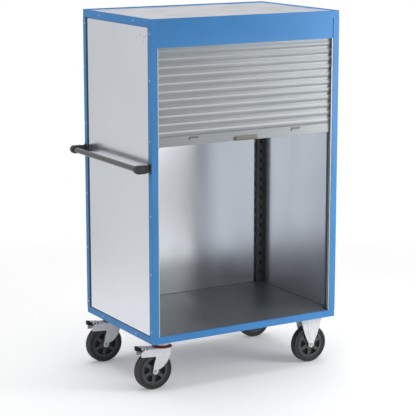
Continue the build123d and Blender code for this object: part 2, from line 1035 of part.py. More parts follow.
def handle_bracket(end):
    """Plastic bracket: plate on the upright, narrow neck, arm and a round socket for the tube."""
    x_side = side_x(-1, 0)
    x_axis = handle_axis()
    outer = end_y(end, handle_bracket_edge)
    inner = end_y(end, handle_bracket_edge + handle_bracket_width)
    middle = (outer + inner) / 2
    half = handle_plate_height / 2
    body = block(
        x_side - handle_plate_wall, x_side, outer, inner, handle_height - half, handle_height + half
    )
    arm = handle_arm_height / 2
    neck = handle_neck_width / 2
    low, high = handle_height - arm, handle_height + arm
    body += block(x_axis, x_side - handle_neck_length, outer, inner, low, high)
    body += block(x_axis, x_side, middle - neck, middle + neck, low, high)
    body += rod_y(outer, inner, x_axis, handle_height, handle_end_radius)
    floor = end_y(end, handle_bracket_edge + handle_socket_wall)
    radius = handle_tube_radius + running_gap
    body -= rod_y(floor, inner - end * overrun, x_axis, handle_height, radius)
    return one_solid(body)


def handle_brackets():
    return together([handle_bracket(end) for end in (-1, 1)])


def handle_tube():
    floor = handle_bracket_edge + handle_socket_wall
    y0, y1 = end_y(-1, floor), end_y(1, floor)
    x = handle_axis()
    bore = rod_y(y0 - overrun, y1 + overrun, x, handle_height, handle_tube_radius - handle_tube_wall)
    return one_solid(rod_y(y0, y1, x, handle_height, handle_tube_radius) - bore)


def handle_screws():
    """Two screws in each plate, one on either side of the bracket's neck."""
    pieces = []
    x = side_x(-1, 0) - handle_plate_wall
    for end in (-1, 1):
        y = end_y(end, handle_bracket_edge + handle_bracket_width / 2)
        for way in (-1, 1):
            z = handle_height + way * handle_screw_spacing / 2
            beside = y + way * handle_screw_offset
            pieces.append(rod_x(x - handle_screw_rise, x, beside, z, handle_screw_radius))
    return together(pieces)


def wheel_x(side):
    inset = swivel_wheel_from_side if side < 0 else fixed_wheel_from_side
    return side_x(side, inset)


def caster_x(side):
    """X of the caster's plate, the swivel axis on the left."""
    inset = swivel_axis_from_side if side < 0 else fixed_wheel_from_side
    return side_x(side, inset)


def bolt_places(side, end):
    places = []
    for along in (-1, 1):
        for across in (-1, 1):
            x = caster_x(side) + along * caster_bolt_length_spacing / 2
            places.append((x, end * wheel_y + across * caster_bolt_width_spacing / 2))
    return places


def bolt_holes(side, end):
    low = caster_plate_under - overrun
    high = frame_underside + rail_wall + overrun
    radius = caster_bolt_radius + bolt_gap
    return [rod_z(low, high, x, y, radius) for x, y in bolt_places(side, end)]


def caster_plate(side, end):
    x, y = caster_x(side), end * wheel_y
    length, width = caster_plate_length / 2, caster_plate_width / 2
    low, high = caster_plate_under, frame_underside
    return block(x - length, x + length, y - width, y + width, low, high)


def caster_bolts():
    """Each bolt has its head under the caster's plate and its nut on the corner plate."""
    pieces = []
    nut_low = frame_underside + rail_wall
    for side in (-1, 1):
        for end in (-1, 1):
            for x, y in bolt_places(side, end):
                head_low = caster_plate_under - caster_bolt_head
                bolt = rod_z(head_low, caster_plate_under, x, y, caster_bolt_head_radius)
                bolt += rod_z(caster_plate_under, nut_low, x, y, caster_bolt_radius)
                bolt += rod_z(nut_low, nut_low + caster_bolt_head, x, y, caster_bolt_head_radius)
                pieces.append(one_solid(bolt))
    return together(pieces)


def swivel_heads():
    """Plate and bearing housing of each swivel caster, fixed under the frame."""
    pieces = []
    low = fork_crown + swivel_race_height + swivel_race_gap
    for end in (-1, 1):
        x, y = caster_x(-1), end * wheel_y
        head = caster_plate(-1, end) + rod_z(low, caster_plate_under, x, y, swivel_housing_radius)
        high = fork_crown + kingpin_height + swivel_race_gap
        head -= rod_z(low - overrun, high, x, y, kingpin_radius + running_gap)
        pieces.append(one_solid(head - bolt_holes(-1, end)))
    return together(pieces)


def swivel_seals():
    """Dust ring that hangs round each swivel housing, just clear of the fork."""
    pieces = []
    low = fork_crown + seal_gap
    race_top = fork_crown + swivel_race_height + swivel_race_gap
    for end in (-1, 1):
        x, y = caster_x(-1), end * wheel_y
        ring = rod_z(low, low + seal_wall, x, y, seal_radius)
        inner = swivel_housing_radius
        ring += rod_z(low + seal_wall, race_top + seal_wall, x, y, inner + seal_wall)
        ring -= rod_z(low - overrun, race_top + seal_wall + overrun, x, y, inner)
        pieces.append(one_solid(ring))
    return together(pieces)


def fork_leg_y(end, way):
    """Inner and outer Y of a fork's leg on that side of the wheel."""
    inner = fork_inside_width / 2
    return end * wheel_y + way * inner, end * wheel_y + way * (inner + fork_wall)


def swivel_fork_outline():
    """(x, z) of a swivel fork's side: leg down to the axle and arm out over the wheel."""
    x, axle = wheel_x(-1), wheel_radius
    rise = fork_crown - axle
    points = []
    for along, up in zip(swivel_fork_along_shares, swivel_fork_up_shares):
        points.append((x + along * swivel_fork_reach, axle + up * rise))
    points.append((x + fork_tip_radius, axle))
    points.append((x + fork_tip_radius / 2, axle - fork_tip_radius))
    points.append((x - fork_tip_radius / 2, axle - fork_tip_radius))
    points.append((x - fork_tip_radius, axle))
    for along, up in zip(swivel_arm_along_shares, swivel_arm_up_shares):
        points.append((x - along * swivel_arm_reach, axle + up * rise))
    return points


def swivel_fork(end):
    x_axis, x_wheel, y = caster_x(-1), wheel_x(-1), end * wheel_y
    inner, outer = fork_inside_width / 2, fork_inside_width / 2 + fork_wall
    far = x_wheel + swivel_fork_reach
    near = pedal_pivot_x() + pedal_hub_radius + pedal_crown_gap
    fork = block(near, far, y - outer, y + outer, fork_crown - fork_wall, fork_crown)
    fork += rod_z(fork_crown - fork_wall, fork_crown, x_axis, y, swivel_housing_radius)
    fork += rod_z(fork_crown, fork_crown + swivel_race_height, x_axis, y, swivel_race_radius)
    fork += rod_z(fork_crown, fork_crown + kingpin_height, x_axis, y, kingpin_radius)
    for way in (-1, 1):
        y0, y1 = sorted(fork_leg_y(end, way))
        fork += prism_y(swivel_fork_outline(), y0, y1)
    fork += rod_y(y - inner, y + inner, pedal_pivot_x(), pedal_pivot_height, pedal_pin_radius)
    hole = axle_radius + running_gap
    fork -= rod_y(y - outer - overrun, y + outer + overrun, x_wheel, wheel_radius, hole)
    return one_solid(fork)


def pedal_pivot_x():
    return caster_x(-1) - pedal_pivot_from_swivel


def brake_pedal(end):
    """Ribbed tread that pivots on a pin between the fork's arms."""
    y = end * wheel_y
    x1 = pedal_pivot_x()
    x0 = x1 - pedal_length
    low, high = pedal_pivot_height, pedal_pivot_height + pedal_wall
    y0, y1 = y - pedal_half_width, y + pedal_half_width
    tread = block(x0, x1, y0, y1, low, high)
    tread += rod_y(y0, y1, x1, pedal_pivot_height, pedal_hub_radius)
    pitch = pedal_length / (pedal_ribs + 1)
    for index in range(pedal_ribs):
        x = x0 + pitch * (index + 1 / 2)
        rib = pitch * pedal_rib_share / 2
        tread += block(x - rib, x + rib, y0, y1, high, high + pedal_rib_rise)
    pin = rod_y(y0 - overrun, y1 + overrun, x1, pedal_pivot_height, pedal_pin_radius + running_gap)
    tread -= pin
    pivot = Axis((x1, y, pedal_pivot_height), (0, 1, 0))
    return one_solid(tread.rotate(pivot, -pedal_tilt))


def swivel_axle(end):
    return axle_bolt(wheel_x(-1), end)


def fixed_axles():
    return together([axle_bolt(wheel_x(1), end) for end in (-1, 1)])


def axle_bolt(x, end):
    """Bolt through both fork legs, with its head and nut outside them."""
    y = end * wheel_y
    outer = fork_inside_width / 2 + fork_wall
    bolt = rod_y(y - outer, y + outer, x, wheel_radius, axle_radius)
    for way in (-1, 1):
        y0, y1 = sorted((y + way * outer, y + way * (outer + axle_head)))
        bolt += rod_y(y0, y1, x, wheel_radius, axle_head_radius)
    return one_solid(bolt)


def fixed_fork_outline():
    x, axle = wheel_x(1), wheel_radius
    rise = caster_plate_under - axle
    half = [(fork_tip_radius / 2, axle - fork_tip_radius), (fork_tip_radius, axle)]
    for across, up in zip(fixed_fork_across_shares, fixed_fork_up_shares):
        half.append((across * fixed_fork_half_width, axle + up * rise))
    right = [(x + across, z) for across, z in half]
    left = [(x - across, z) for across, z in half]
    return right + left[::-1]


def fixed_fork_crease_outline():
    x = wheel_x(1)
    wide = fixed_fork_half_width * fixed_fork_crease_share
    narrow = fork_tip_radius / 2
    low = wheel_radius + fork_tip_radius
    return [
        (x - wide, caster_plate_under),
        (x + wide, caster_plate_under),
        (x + narrow, low),
        (x - narrow, low),
    ]


def fixed_forks():
    """Plate and two legs in one, each leg with a pressed rib, bolted under the frame."""
    pieces = []
    x = wheel_x(1)
    for end in (-1, 1):
        fork = caster_plate(1, end)
        for way in (-1, 1):
            inside, outside = fork_leg_y(end, way)
            fork += prism_y(fixed_fork_outline(), *sorted((inside, outside)))
            ribbed = outside + way * fixed_fork_crease_rise
            fork += prism_y(fixed_fork_crease_outline(), *sorted((outside, ribbed)))
        outer = fork_inside_width / 2 + fork_wall + overrun
        y = end * wheel_y
        fork -= rod_y(y - outer, y + outer, x, wheel_radius, axle_radius + running_gap)
        pieces.append(one_solid(fork - bolt_holes(1, end)))
    return together(pieces)


def turned(outline, x, y):
    """Solid of revolution about the wheel's axle. Outline points are (radius, across)."""
    face = filled([(x + radius, y + across, wheel_radius) for radius, across in outline])
    return revolve(face, Axis((x, y, wheel_radius), (0, 1, 0)))


def tyre(side, end):
    x, y = wheel_x(side), end * wheel_y
    half = wheel_width / 2
    inner = wheel_radius - tyre_depth
    shoulder = tyre_shoulder
    third = shoulder / 3
    outline = [
        (inner, -half),
        (wheel_radius - shoulder, -half),
        (wheel_radius - third, -half + third),
        (wheel_radius, -half + shoulder),
        (wheel_radius, half - shoulder),
        (wheel_radius - third, half - third),
        (wheel_radius - shoulder, half),
        (inner, half),
    ]
    body = turned(outline, x, y)
    for share in tyre_groove_shares:
        middle = inner + share * (tyre_depth - shoulder)
        for way in (-1, 1):
            groove = [
                (middle - tyre_groove_width / 2, way * (half + overrun)),
                (middle - tyre_groove_width / 2, way * (half - tyre_groove)),
                (middle + tyre_groove_width / 2, way * (half - tyre_groove)),
                (middle + tyre_groove_width / 2, way * (half + overrun)),
            ]
            body -= turned(groove, x, y)
    return one_solid(body)


def hub(side, end):
    """Plastic wheel centre: rim, thin web, boss and spokes with open pockets between."""
    x, y = wheel_x(side), end * wheel_y
    half = hub_width / 2
    rim = wheel_radius - tyre_depth
    body = rod_y(y - half, y + half, x, wheel_radius, rim)
    web = hub_web_wall / 2
    inner = rim - hub_rim_depth
    pocket = rod_y(y - half - overrun, y - web, x, wheel_radius, inner)
    pocket += rod_y(y + web, y + half + overrun, x, wheel_radius, inner)
    pocket -= rod_y(y - half - overrun, y + half + overrun, x, wheel_radius, hub_boss_radius)
    middle = Axis((x, y, wheel_radius), (0, 1, 0))
    spoke = block(
        x - hub_spoke_width / 2,
        x + hub_spoke_width / 2,
        y - half - overrun,
        y + half + overrun,
        wheel_radius,
        wheel_radius + rim,
    )
    for index in range(hub_spokes):
        pocket -= spoke.rotate(middle, hub_turn + 360 * index / hub_spokes)
    body -= pocket
    reach = fork_inside_width / 2 - hub_boss_gap
    body += rod_y(y - reach, y + reach, x, wheel_radius, hub_sleeve_radius)
    body -= rod_y(y - reach - overrun, y + reach + overrun, x, wheel_radius, axle_radius + running_gap)
    return one_solid(body)


def pieces():
    """Every node's name and its solid."""
    made = {
        "base_rail_front": base_rail_front(),
        "base_rail_back": base_rail_back(),
        "base_rail_left": base_rail_side(-1),
        "base_rail_right": base_rail_side(1),
        "base_corner_plates": base_corner_plates(),
        "deck_bearers": deck_bearers(),
        "deck_board": deck_board(),
        "upright_front_left": upright(-1, -1),
        "upright_front_right": upright(1, -1),
        "upright_back_left": upright(-1, 1),
        "upright_back_right": upright(1, 1),
        "top_rail_front": top_rail_end(-1),
        "top_rail_back": top_rail_end(1),
        "top_rail_left": top_rail_side(-1),
        "top_rail_right": top_rail_side(1),
        "roof_panel": roof_panel(),
        "side_panel_left": side_panel(-1),
        "side_panel_right": side_panel(1),
        "back_panel": back_panel(),
        "fascia_panel": fascia_panel(),
        "shutter_guides": shutter_guides(),
        "shelf_rails_front": shelf_rails(front_shelf_rail),
        "shelf_rails_back": shelf_rails(back_shelf_rail),
        "frame_rivets": frame_rivets(),
        "barrel_brackets": barrel_brackets(),
        "bracket_bolts": bracket_bolts(),
        "barrel_shaft": barrel_shaft(),
        "barrel_spring": barrel_spring(),
        "barrel_tube": barrel_tube(),
        "barrel_end_caps": barrel_end_caps(),
        "rolled_slats": rolled_slats(),
        "hanging_slats": hanging_slats(),
        "bottom_bar": bottom_bar(),
        "lock_housing": lock_housing(),
        "finger_pulls": finger_pulls(),
        "lock_cylinder": lock_cylinder(),
        "lock_bolt": lock_bolt(),
        "handle_tube": handle_tube(),
        "handle_brackets": handle_brackets(),
        "handle_screws": handle_screws(),
        "caster_bolts": caster_bolts(),
        "swivel_heads": swivel_heads(),
        "swivel_seals": swivel_seals(),
        "fixed_forks": fixed_forks(),
        "fixed_axles": fixed_axles(),
    }
    for end, word in ((-1, "front"), (1, "back")):
        made[f"swivel_fork_{word}"] = swivel_fork(end)
        made[f"brake_pedal_{word}"] = brake_pedal(end)
        made[f"swivel_axle_{word}"] = swivel_axle(end)
        for side, hand in ((-1, "left"), (1, "right")):
            made[f"tyre_{word}_{hand}"] = tyre(side, end)
            made[f"hub_{word}_{hand}"] = hub(side, end)
    return made


os.makedirs("parts", exist_ok=True)
for name, solid in pieces().items():
    export_step(solid, f"parts/{name}.step")
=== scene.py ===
import collections
import json
import math

import bmesh
import bpy
from mathutils import Matrix, Vector


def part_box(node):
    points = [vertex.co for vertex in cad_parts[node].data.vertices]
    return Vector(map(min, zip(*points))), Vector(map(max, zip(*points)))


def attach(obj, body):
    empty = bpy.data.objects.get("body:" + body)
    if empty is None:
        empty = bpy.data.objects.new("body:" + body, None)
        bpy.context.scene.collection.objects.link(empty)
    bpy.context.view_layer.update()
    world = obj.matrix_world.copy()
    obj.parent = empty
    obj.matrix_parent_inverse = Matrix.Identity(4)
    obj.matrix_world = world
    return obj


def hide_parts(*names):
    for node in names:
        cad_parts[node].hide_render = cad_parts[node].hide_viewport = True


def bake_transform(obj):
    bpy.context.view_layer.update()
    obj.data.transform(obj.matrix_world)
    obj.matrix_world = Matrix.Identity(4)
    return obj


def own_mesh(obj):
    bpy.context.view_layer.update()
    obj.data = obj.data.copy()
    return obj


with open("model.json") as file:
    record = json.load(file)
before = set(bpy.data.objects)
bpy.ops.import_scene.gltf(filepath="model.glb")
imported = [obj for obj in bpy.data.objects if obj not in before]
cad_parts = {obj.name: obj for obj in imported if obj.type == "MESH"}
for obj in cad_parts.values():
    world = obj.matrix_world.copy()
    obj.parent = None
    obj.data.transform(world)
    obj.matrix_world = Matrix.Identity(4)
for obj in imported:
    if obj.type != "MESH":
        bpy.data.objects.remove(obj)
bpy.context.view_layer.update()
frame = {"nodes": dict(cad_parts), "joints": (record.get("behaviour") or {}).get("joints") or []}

bl_info = {
    "name": "Roller Shutter Cupboard Trolley",
    "version": (1, 0, 0),
    "blender": (4, 5, 0),
    "location": "View3D > Sidebar > Trolley",
    "description": "Finished pieces, paints and metals of a cupboard trolley with a roller shutter",
    "category": "Object",
}

SHARP_ANGLE = math.radians(32)
FOLD_ANGLE = SHARP_ANGLE * 1.2
FLAT_ANGLE = math.radians(0.5)


# Values that a user may change

def shade(red, green, blue):
    """A colour given as it looks on a screen, 0 to 255, as Blender's linear colour."""
    def linear(level):
        level /= 255
        return level / 12.92 if level <= 0.04045 else ((level + 0.055) / 1.055) ** 2.4
    return linear(red), linear(green), linear(blue)


def number(name, description, default, unit="NONE"):
    return bpy.props.FloatProperty(name=name, description=description, default=default, unit=unit)


def length(name, description, default):
    return number(name, description, default, "LENGTH")


def position(name, description, default):
    return bpy.props.FloatVectorProperty(
        name=name, description=description, default=default, size=3, subtype="TRANSLATION", unit="LENGTH"
    )


def colour(name, description, default):
    return bpy.props.FloatVectorProperty(
        name=name, description=description, default=default, subtype="COLOR", size=3, min=0.0, max=1.0
    )


def centre_of(low, high):
    return (Vector(low) + Vector(high)) / 2


def middle_of(node):
    return centre_of(*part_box(node))


class CupboardSettings(bpy.types.PropertyGroup):
    """Frame, walls, deck and rails."""
    blue: colour("Frame blue", "Powder coat of the frame and the fascia", shade(73, 144, 209))
    grey: colour("Panel grey", "Metallic coat of the side, back and roof panels", shade(226, 230, 236))
    deck: colour("Deck grey", "Film on the deck board", shade(88, 92, 96))
    rail: colour("Rail grey", "Paint of the slotted shelf rails", shade(80, 81, 84))
    # Near-black of the strips in the panel gaps, the base rails' upward faces inside and the hub webs:
    # painted shade.
    seal_and_shade: colour("Seal black", "Strips in the gaps round the side panels", shade(30, 30, 33))
    fold: length("Fold radius", "Rounding of the folded edges of the frame", 0.0022)
    cut: length("Cut edge", "Rounding of the sheet's cut edges", 0.0005)
    fascia_fold: length("Fascia fold", "Rounding of the fascia's folded edges", 0.0012)
    front_leg: length("Front leg", "Width of the front uprights' face", 0.036)
    # Sizes of the near-black strips that paint the shade in the gaps round the side panels.
    shade_strip_wall: length("Seal thickness", "Thickness of the dark strips", 0.0011)
    shade_strip_gap: length("Seal gap", "Gap between a side panel and the frame", 0.008)
    shade_strip_lap: length("Seal lap", "How far a strip laps over the panel's back edge", 0.006)
    rivet_dome: length("Rivet dome", "How far a rivet's head stands out", 0.0012)


class ShutterSettings(bpy.types.PropertyGroup):
    """Slats, bar, lock and roll."""
    slat: colour("Slat grey", "Slats and bottom bar", shade(150, 154, 157))
    # Also the colour of the darker plates at the back of the finger pulls, which are painted shade.
    clip: colour("End clip", "Plastic clips at the slats' ends", shade(118, 114, 106))
    cover: colour("Lock cover", "Lock housing on the bottom bar", shade(124, 124, 114))
    pitch: length("Slat pitch", "Height of one slat with its joint", 0.0403)
    gap: length("Joint gap", "Gap between two slats", 0.0004)
    wall: length("Slat thickness", "From the ridge to the back", 0.008)
    travel: length("Lowering travel", "How far the whole curtain comes down", 0.957)
    lift: length("Lift travel", "How far the bar is lifted from the shown height", 0.410)
    store: length("Store height", "Height of the band that the unwound slats start from", 0.003)
    pull_wall: length("Pull thickness", "Sheet of the finger pulls", 0.0018)
    hung: bpy.props.IntProperty(name="Hanging slats", description="Slats below the roll", default=12)
    unwound: bpy.props.IntProperty(
        name="Unwound slats", description="Slats that come off the roll", default=24
    )


class HandleSettings(bpy.types.PropertyGroup):
    """Push handle."""
    tube: colour("Tube grey", "Coating of the push bar", shade(66, 66, 69))
    plastic: colour("Bracket black", "Handle brackets", shade(38, 38, 41))
    socket: length("Socket radius", "Outer radius of the bracket's socket", 0.021)
    plate: length("Plate height", "Height of the bracket's plate", 0.047)
    wall: length("Plate thickness", "Thickness of the bracket's plate", 0.006)
    arm: length("Arm height", "Height of the bracket's arm", 0.041)
    neck_length: length("Neck length", "Length of the bracket's narrow neck, with its plate", 0.026)
    neck_width: length("Neck width", "Width of the bracket's narrow neck", 0.014)


class CasterSettings(bpy.types.PropertyGroup):
    """Forks, wheels and brakes."""
    zinc: colour("Fork zinc", "Bright zinc of forks and plates", shade(238, 240, 242))
    rubber: colour("Tyre grey", "Tyre rubber", shade(60, 60, 61))
    hub: colour("Hub grey", "Wheel centre", shade(68, 69, 71))
    seal_and_shade: colour("Seal red", "Dust ring over the fork", shade(112, 24, 28))
    tread: colour("Pedal grey", "Brake pedal", shade(30, 35, 44))
    wheel_radius: length("Wheel radius", "Radius of the tyre", 0.100)
    wheel_width: length("Wheel width", "Width of the tyre", 0.046)
    rim_radius: length("Rim radius", "Where the tyre meets the wheel centre", 0.075)
    hub_width: length("Hub width", "Width of the wheel centre", 0.040)
    boss_radius: length("Boss radius", "Radius of the wheel centre's boss", 0.028)
    pocket_radius: length("Pocket radius", "Outer radius of the hub's pockets", 0.061)
    spoke: length("Spoke width", "Width of the webs between the pockets", 0.019)
    turn: bpy.props.FloatProperty(
        name="Wheel turn", description="How far the wheels are turned", default=math.radians(8),
        subtype="ANGLE",
    )
    crown: length("Crown height", "Height of the swivel fork's top", 0.218)
    inside: length("Fork inside", "Width between the fork's legs", 0.056)
    wall: length("Fork thickness", "Sheet of the forks", 0.003)
    plate_length: length("Plate length", "Caster plate, along the trolley", 0.135)
    plate_width: length("Plate width", "Caster plate, across the trolley", 0.110)
    plate_wall: length("Plate thickness", "Thickness of the caster plate", 0.006)
    bolt_length: length("Bolt spacing, length", "Caster bolts, along the trolley", 0.105)
    bolt_width: length("Bolt spacing, width", "Caster bolts, across the trolley", 0.080)
    bolt_flats: length("Plate bolt size", "Across the flats of a caster bolt's head", 0.0136)
    axle_flats: length("Axle bolt size", "Across the flats of an axle bolt's head", 0.0155)
    under: length("Frame underside", "Height of the frame's underside", 0.258)
    fork_foot: length("Fork foot", "Radius of a fork's leg round the axle", 0.017)
    fork_bead: length("Fork bead", "Width of the raised bead along a fork's edge", 0.0035)
    pedal_length: length("Pedal length", "From the pivot to the toe", 0.082)
    pedal_half: length("Half pedal width", "From the pedal's middle to its side", 0.027)
    strip_half: length("Half strip width", "From a pale strip's middle to its edge", 0.0048)


class StageSettings(bpy.types.PropertyGroup):
    """Floor, lamps and camera."""
    floor: colour("Floor", "Pale floor and backdrop", shade(246, 246, 246))
    eye: position("Camera place", "Where the camera stands", (-4.1265, -7.0942, 2.5288))
    aim: position("Camera aim", "The point that the camera looks at", (0.0116, -0.0297, 0.8488))
    lens: number("Lens", "Focal length in millimetres", 136.76, "CAMERA")
    key_power: number("Key power", "Strength of the lamp in front, on the right", 33.0, "POWER")
    key_size: length("Key size", "Diameter of the key lamp", 1.3)
    key_place: position("Key place", "Where the key lamp stands", (1.95, -1.95, 1.35))
    key_aim: position("Key aim", "The point that the key lamp shines at", (0.3, -0.3, 1.05))
    top_power: number("Top power", "Strength of the large soft lamp overhead", 150.0, "POWER")
    top_size: length("Top size", "Diameter of the top lamp", 4.6)
    top_place: position("Top place", "Where the top lamp hangs", (0.1, 0.5, 5.6))
    top_aim: position("Top aim", "The point that the top lamp shines at", (0.05, 0.0, 1.0))
    side_power: number("Side power", "Strength of the lamp on the handle's side", 20.0, "POWER")
    side_size: length("Side size", "Diameter of the side lamp", 3.0)
    side_place: position("Side place", "Where the side lamp stands", (-4.2, 0.6, 2.6))
    side_aim: position("Side aim", "The point that the side lamp shines at", (-0.4, 0.0, 1.0))
    horizon: number("Air at eye level", "Strength of the pale surroundings at eye level", 0.30)
    zenith: number("Air overhead", "Strength of the pale surroundings overhead", 0.46)
    mirrored_dim: number("Dim side", "Strength of the surroundings that metal shows on the right", 0.33)
    mirrored_bright: number("Bright side", "Strength of the surroundings that metal shows on the left", 1.06)
    mirrored_above: number("Bright above", "Strength of the surroundings that metal shows overhead", 0.78)
    mirrored_rise: number("Bright above from", "Rise of a direction where metal shows the air overhead", 0.15)
    bright_way: bpy.props.FloatVectorProperty(
        name="Bright way", description="Where the surroundings that metal shows are brightest",
        default=(-0.9, -0.45, 0.0), size=3, subtype="DIRECTION",
    )
    shadow_reach: length("Shadow reach", "How far from the object the floor may show shadow", 3.2)
    glow: number("Floor glow", "What the floor shows of its own where it is in shadow", 0.19)


GROUPS = {
    "cupboard": CupboardSettings, "shutter": ShutterSettings, "handle": HandleSettings,
    "casters": CasterSettings, "stage": StageSettings,
}


def settings(context, name):
    return getattr(context.scene, "trolley_" + name)


# Shapes

def on_axis(axis):
    """Turns (across, up, along) into a place, with along on the named axis."""
    rows = {
        "x": ((0, 0, 1, 0), (1, 0, 0, 0), (0, 1, 0, 0), (0, 0, 0, 1)),
        "y": ((1, 0, 0, 0), (0, 0, 1, 0), (0, 1, 0, 0), (0, 0, 0, 1)),
        "z": ((1, 0, 0, 0), (0, 1, 0, 0), (0, 0, 1, 0), (0, 0, 0, 1)),
    }
    return Matrix(rows[axis])


def joined(*shapes):
    """One shape from several, which are used up."""
    whole = bmesh.new()
    for shape in shapes:
        carrier = bpy.data.meshes.new("carrier")
        shape.to_mesh(carrier)
        shape.free()
        whole.from_mesh(carrier)
        bpy.data.meshes.remove(carrier)
    return whole


def plate(outlines, low, high, axis, edge=0.0, steps=2):
    """Flat shape cut between two places along an axis. Outlines inside the first are holes."""
    drawing = bpy.data.curves.new("drawing", "CURVE")
    drawing.dimensions = "2D"
    drawing.fill_mode = "BOTH"
    drawing.extrude = (high - low) / 2 - edge
    drawing.bevel_depth = edge
    drawing.bevel_resolution = steps
    drawing.offset = -edge
    for outline in outlines:
        line = drawing.splines.new("POLY")
        line.points.add(len(outline) - 1)
        for point, (across, up) in zip(line.points, outline):
            point.co = (across, up, 0, 1)
        line.use_cyclic_u = True
    holder = bpy.data.objects.new("drawing", drawing)
    cut = bpy.data.meshes.new_from_object(holder)
    shape = bmesh.new()
    shape.from_mesh(cut)
    bpy.data.objects.remove(holder)
    bpy.data.curves.remove(drawing)
    bpy.data.meshes.remove(cut)
    bmesh.ops.remove_doubles(shape, verts=shape.verts, dist=1e-6)
    shift = Matrix.Translation((0, 0, (low + high) / 2))
    bmesh.ops.transform(shape, matrix=on_axis(axis) @ shift, verts=shape.verts)
    return shape


def turned(profile, centre, axis, steps=72):
    """Solid of revolution. The profile's points are (radius, along), a closed outline."""
    shape = bmesh.new()
    rings = []
    for index in range(steps):
        angle = 2 * math.pi * index / steps
        rings.append([
            shape.verts.new((radius * math.cos(angle), radius * math.sin(angle), along))
            for radius, along in profile
        ])
    for index, ring in enumerate(rings):
        following = rings[(index + 1) % steps]
        for spot in range(len(profile)):
            after = (spot + 1) % len(profile)
            if profile[spot][0] < 1e-7 and profile[after][0] < 1e-7:
                continue
            shape.faces.new((ring[spot], ring[after], following[after], following[spot]))
    bmesh.ops.remove_doubles(shape, verts=shape.verts, dist=1e-7)
    place = Matrix.Translation(centre) @ on_axis(axis)
    bmesh.ops.transform(shape, matrix=place, verts=shape.verts)
    return shape


def arc(across, up, radius, first, last, steps=8):
    """Points on an arc, with angles in degrees."""
    points = []
    for index in range(steps + 1):
        angle = math.radians(first + (last - first) * index / steps)
        points.append((across + radius * math.cos(angle), up + radius * math.sin(angle)))
    return points


def both_ends(half):
    """A profile for turned() that is the same at both ends, from the points of its far end."""
    return half + [(radius, -along) for radius, along in reversed(half)]


def ring_line(across, up, radius, steps=32):
    return arc(across, up, radius, 0, 360, steps)[:-1]


def hexagon(across, up, radius):
    return arc(across, up, radius, 30, 390, 6)[:-1]


def soft_box(left, right, low, high, radius, steps=6):
    """Rectangle with round corners."""
    return (
        arc(right - radius, low + radius, radius, -90, 0, steps)
        + arc(right - radius, high - radius, radius, 0, 90, steps)
        + arc(left + radius, high - radius, radius, 90, 180, steps)
        + arc(left + radius, low + radius, radius, 180, 270, steps)
    )


def flowing(points, steps=6):
    """An open line that runs smoothly through its points."""
    line = []
    for index in range(len(points) - 1):
        before = points[max(index - 1, 0)]
        start, stop = points[index], points[index + 1]
        after = points[min(index + 2, len(points) - 1)]
        for step in range(steps):
            t = step / steps
            line.append(tuple(
                0.5 * (2 * a + (b - p) * t + (2 * p - 5 * a + 4 * b - n) * t * t
                       + (3 * a - p - 3 * b + n) * t ** 3)
                for p, a, b, n in zip(before, start, stop, after)
            ))
    line.append(points[-1])
    return line


def inward(outline, distance):
    """The outline moved inwards by a distance."""
    area = 0.0
    for (a0, b0), (a1, b1) in zip(outline, outline[1:] + outline[:1]):
        area += a0 * b1 - a1 * b0
    way = 1 if area > 0 else -1
    moved = []
    count = len(outline)
    for index, (a, b) in enumerate(outline):
        before, after = outline[index - 1], outline[(index + 1) % count]
        run = Vector((after[0] - before[0], after[1] - before[1]))
        if run.length < 1e-9:
            continue
        run.normalize()
        moved.append((a - way * run.y * distance, b + way * run.x * distance))
    return moved


def solid_boxes(node):
    """(low, high) of each separate solid of a node."""
    shape = bmesh.new()
    shape.from_mesh(frame["nodes"][node].data)
    bmesh.ops.remove_doubles(shape, verts=shape.verts, dist=1e-6)
    found, left = [], set(shape.verts)
    while left:
        group, edge = set(), [left.pop()]
        while edge:
            spot = edge.pop()
            group.add(spot)
            for line in spot.link_edges:
                other = line.other_vert(spot)
                if other in left:
                    left.remove(other)
                    edge.append(other)
        low = tuple(min(v.co[i] for v in group) for i in range(3))
        high = tuple(max(v.co[i] for v in group) for i in range(3))
        found.append((low, high))
    shape.free()
    return sorted(found)


def eased(node, cut, fold, shortest=0.02):
    """The node's own shape with its long outer edges rounded, folds more than cut edges."""
    shape = bmesh.new()
    shape.from_mesh(frame["nodes"][node].data)
    bmesh.ops.remove_doubles(shape, verts=shape.verts, dist=1e-5)
    bmesh.ops.dissolve_limit(shape, angle_limit=FLAT_ANGLE, verts=shape.verts, edges=shape.edges)
    for width, steps in ((fold, 3), (cut, 2)):
        picked = [
            line for line in shape.edges
            if width > 0 and len(line.link_faces) == 2 and line.is_convex
            and line.calc_length() >= shortest and line.calc_face_angle(0) >= FOLD_ANGLE
            and (width == cut or narrowest(line) > fold * 2)
        ]
        if picked:
            bmesh.ops.bevel(
                shape, geom=picked, offset=width, segments=steps, profile=0.5, affect="EDGES",
                clamp_overlap=True,
            )
    return shape


def narrowest(line):
    """Width of the narrower of the two faces beside an edge."""
    return min(face.calc_area() for face in line.link_faces) / line.calc_length()


def piece(name, shape, finish, body, slot, *nodes, weighted=True):
    """Puts a finished shape in the scene, on its body if it has one, in place of its solids."""
    bmesh.ops.recalc_face_normals(shape, faces=shape.faces)
    for face in shape.faces:
        face.smooth = True
    for line in shape.edges:
        line.smooth = len(line.link_faces) == 2 and line.calc_face_angle(0) < SHARP_ANGLE
    mesh = bpy.data.meshes.new(name)
    shape.to_mesh(mesh)
    shape.free()
    thing = bpy.data.objects.new(name, mesh)
    bpy.context.scene.collection.objects.link(thing)
    mesh.materials.append(finish)
    if weighted:
        even = thing.modifiers.new("Even shading", "WEIGHTED_NORMAL")
        even.keep_sharp = True
    if body:
        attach(thing, body)
    if nodes:
        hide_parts(*nodes)
    return thing


def dress(node, finish):
    """Gives a solid that stays its finish."""
    thing = frame["nodes"][node]
    if not thing.material_slots:
        thing.data.materials.append(finish)
    for holder in thing.material_slots:
        holder.material = finish


# Finishes

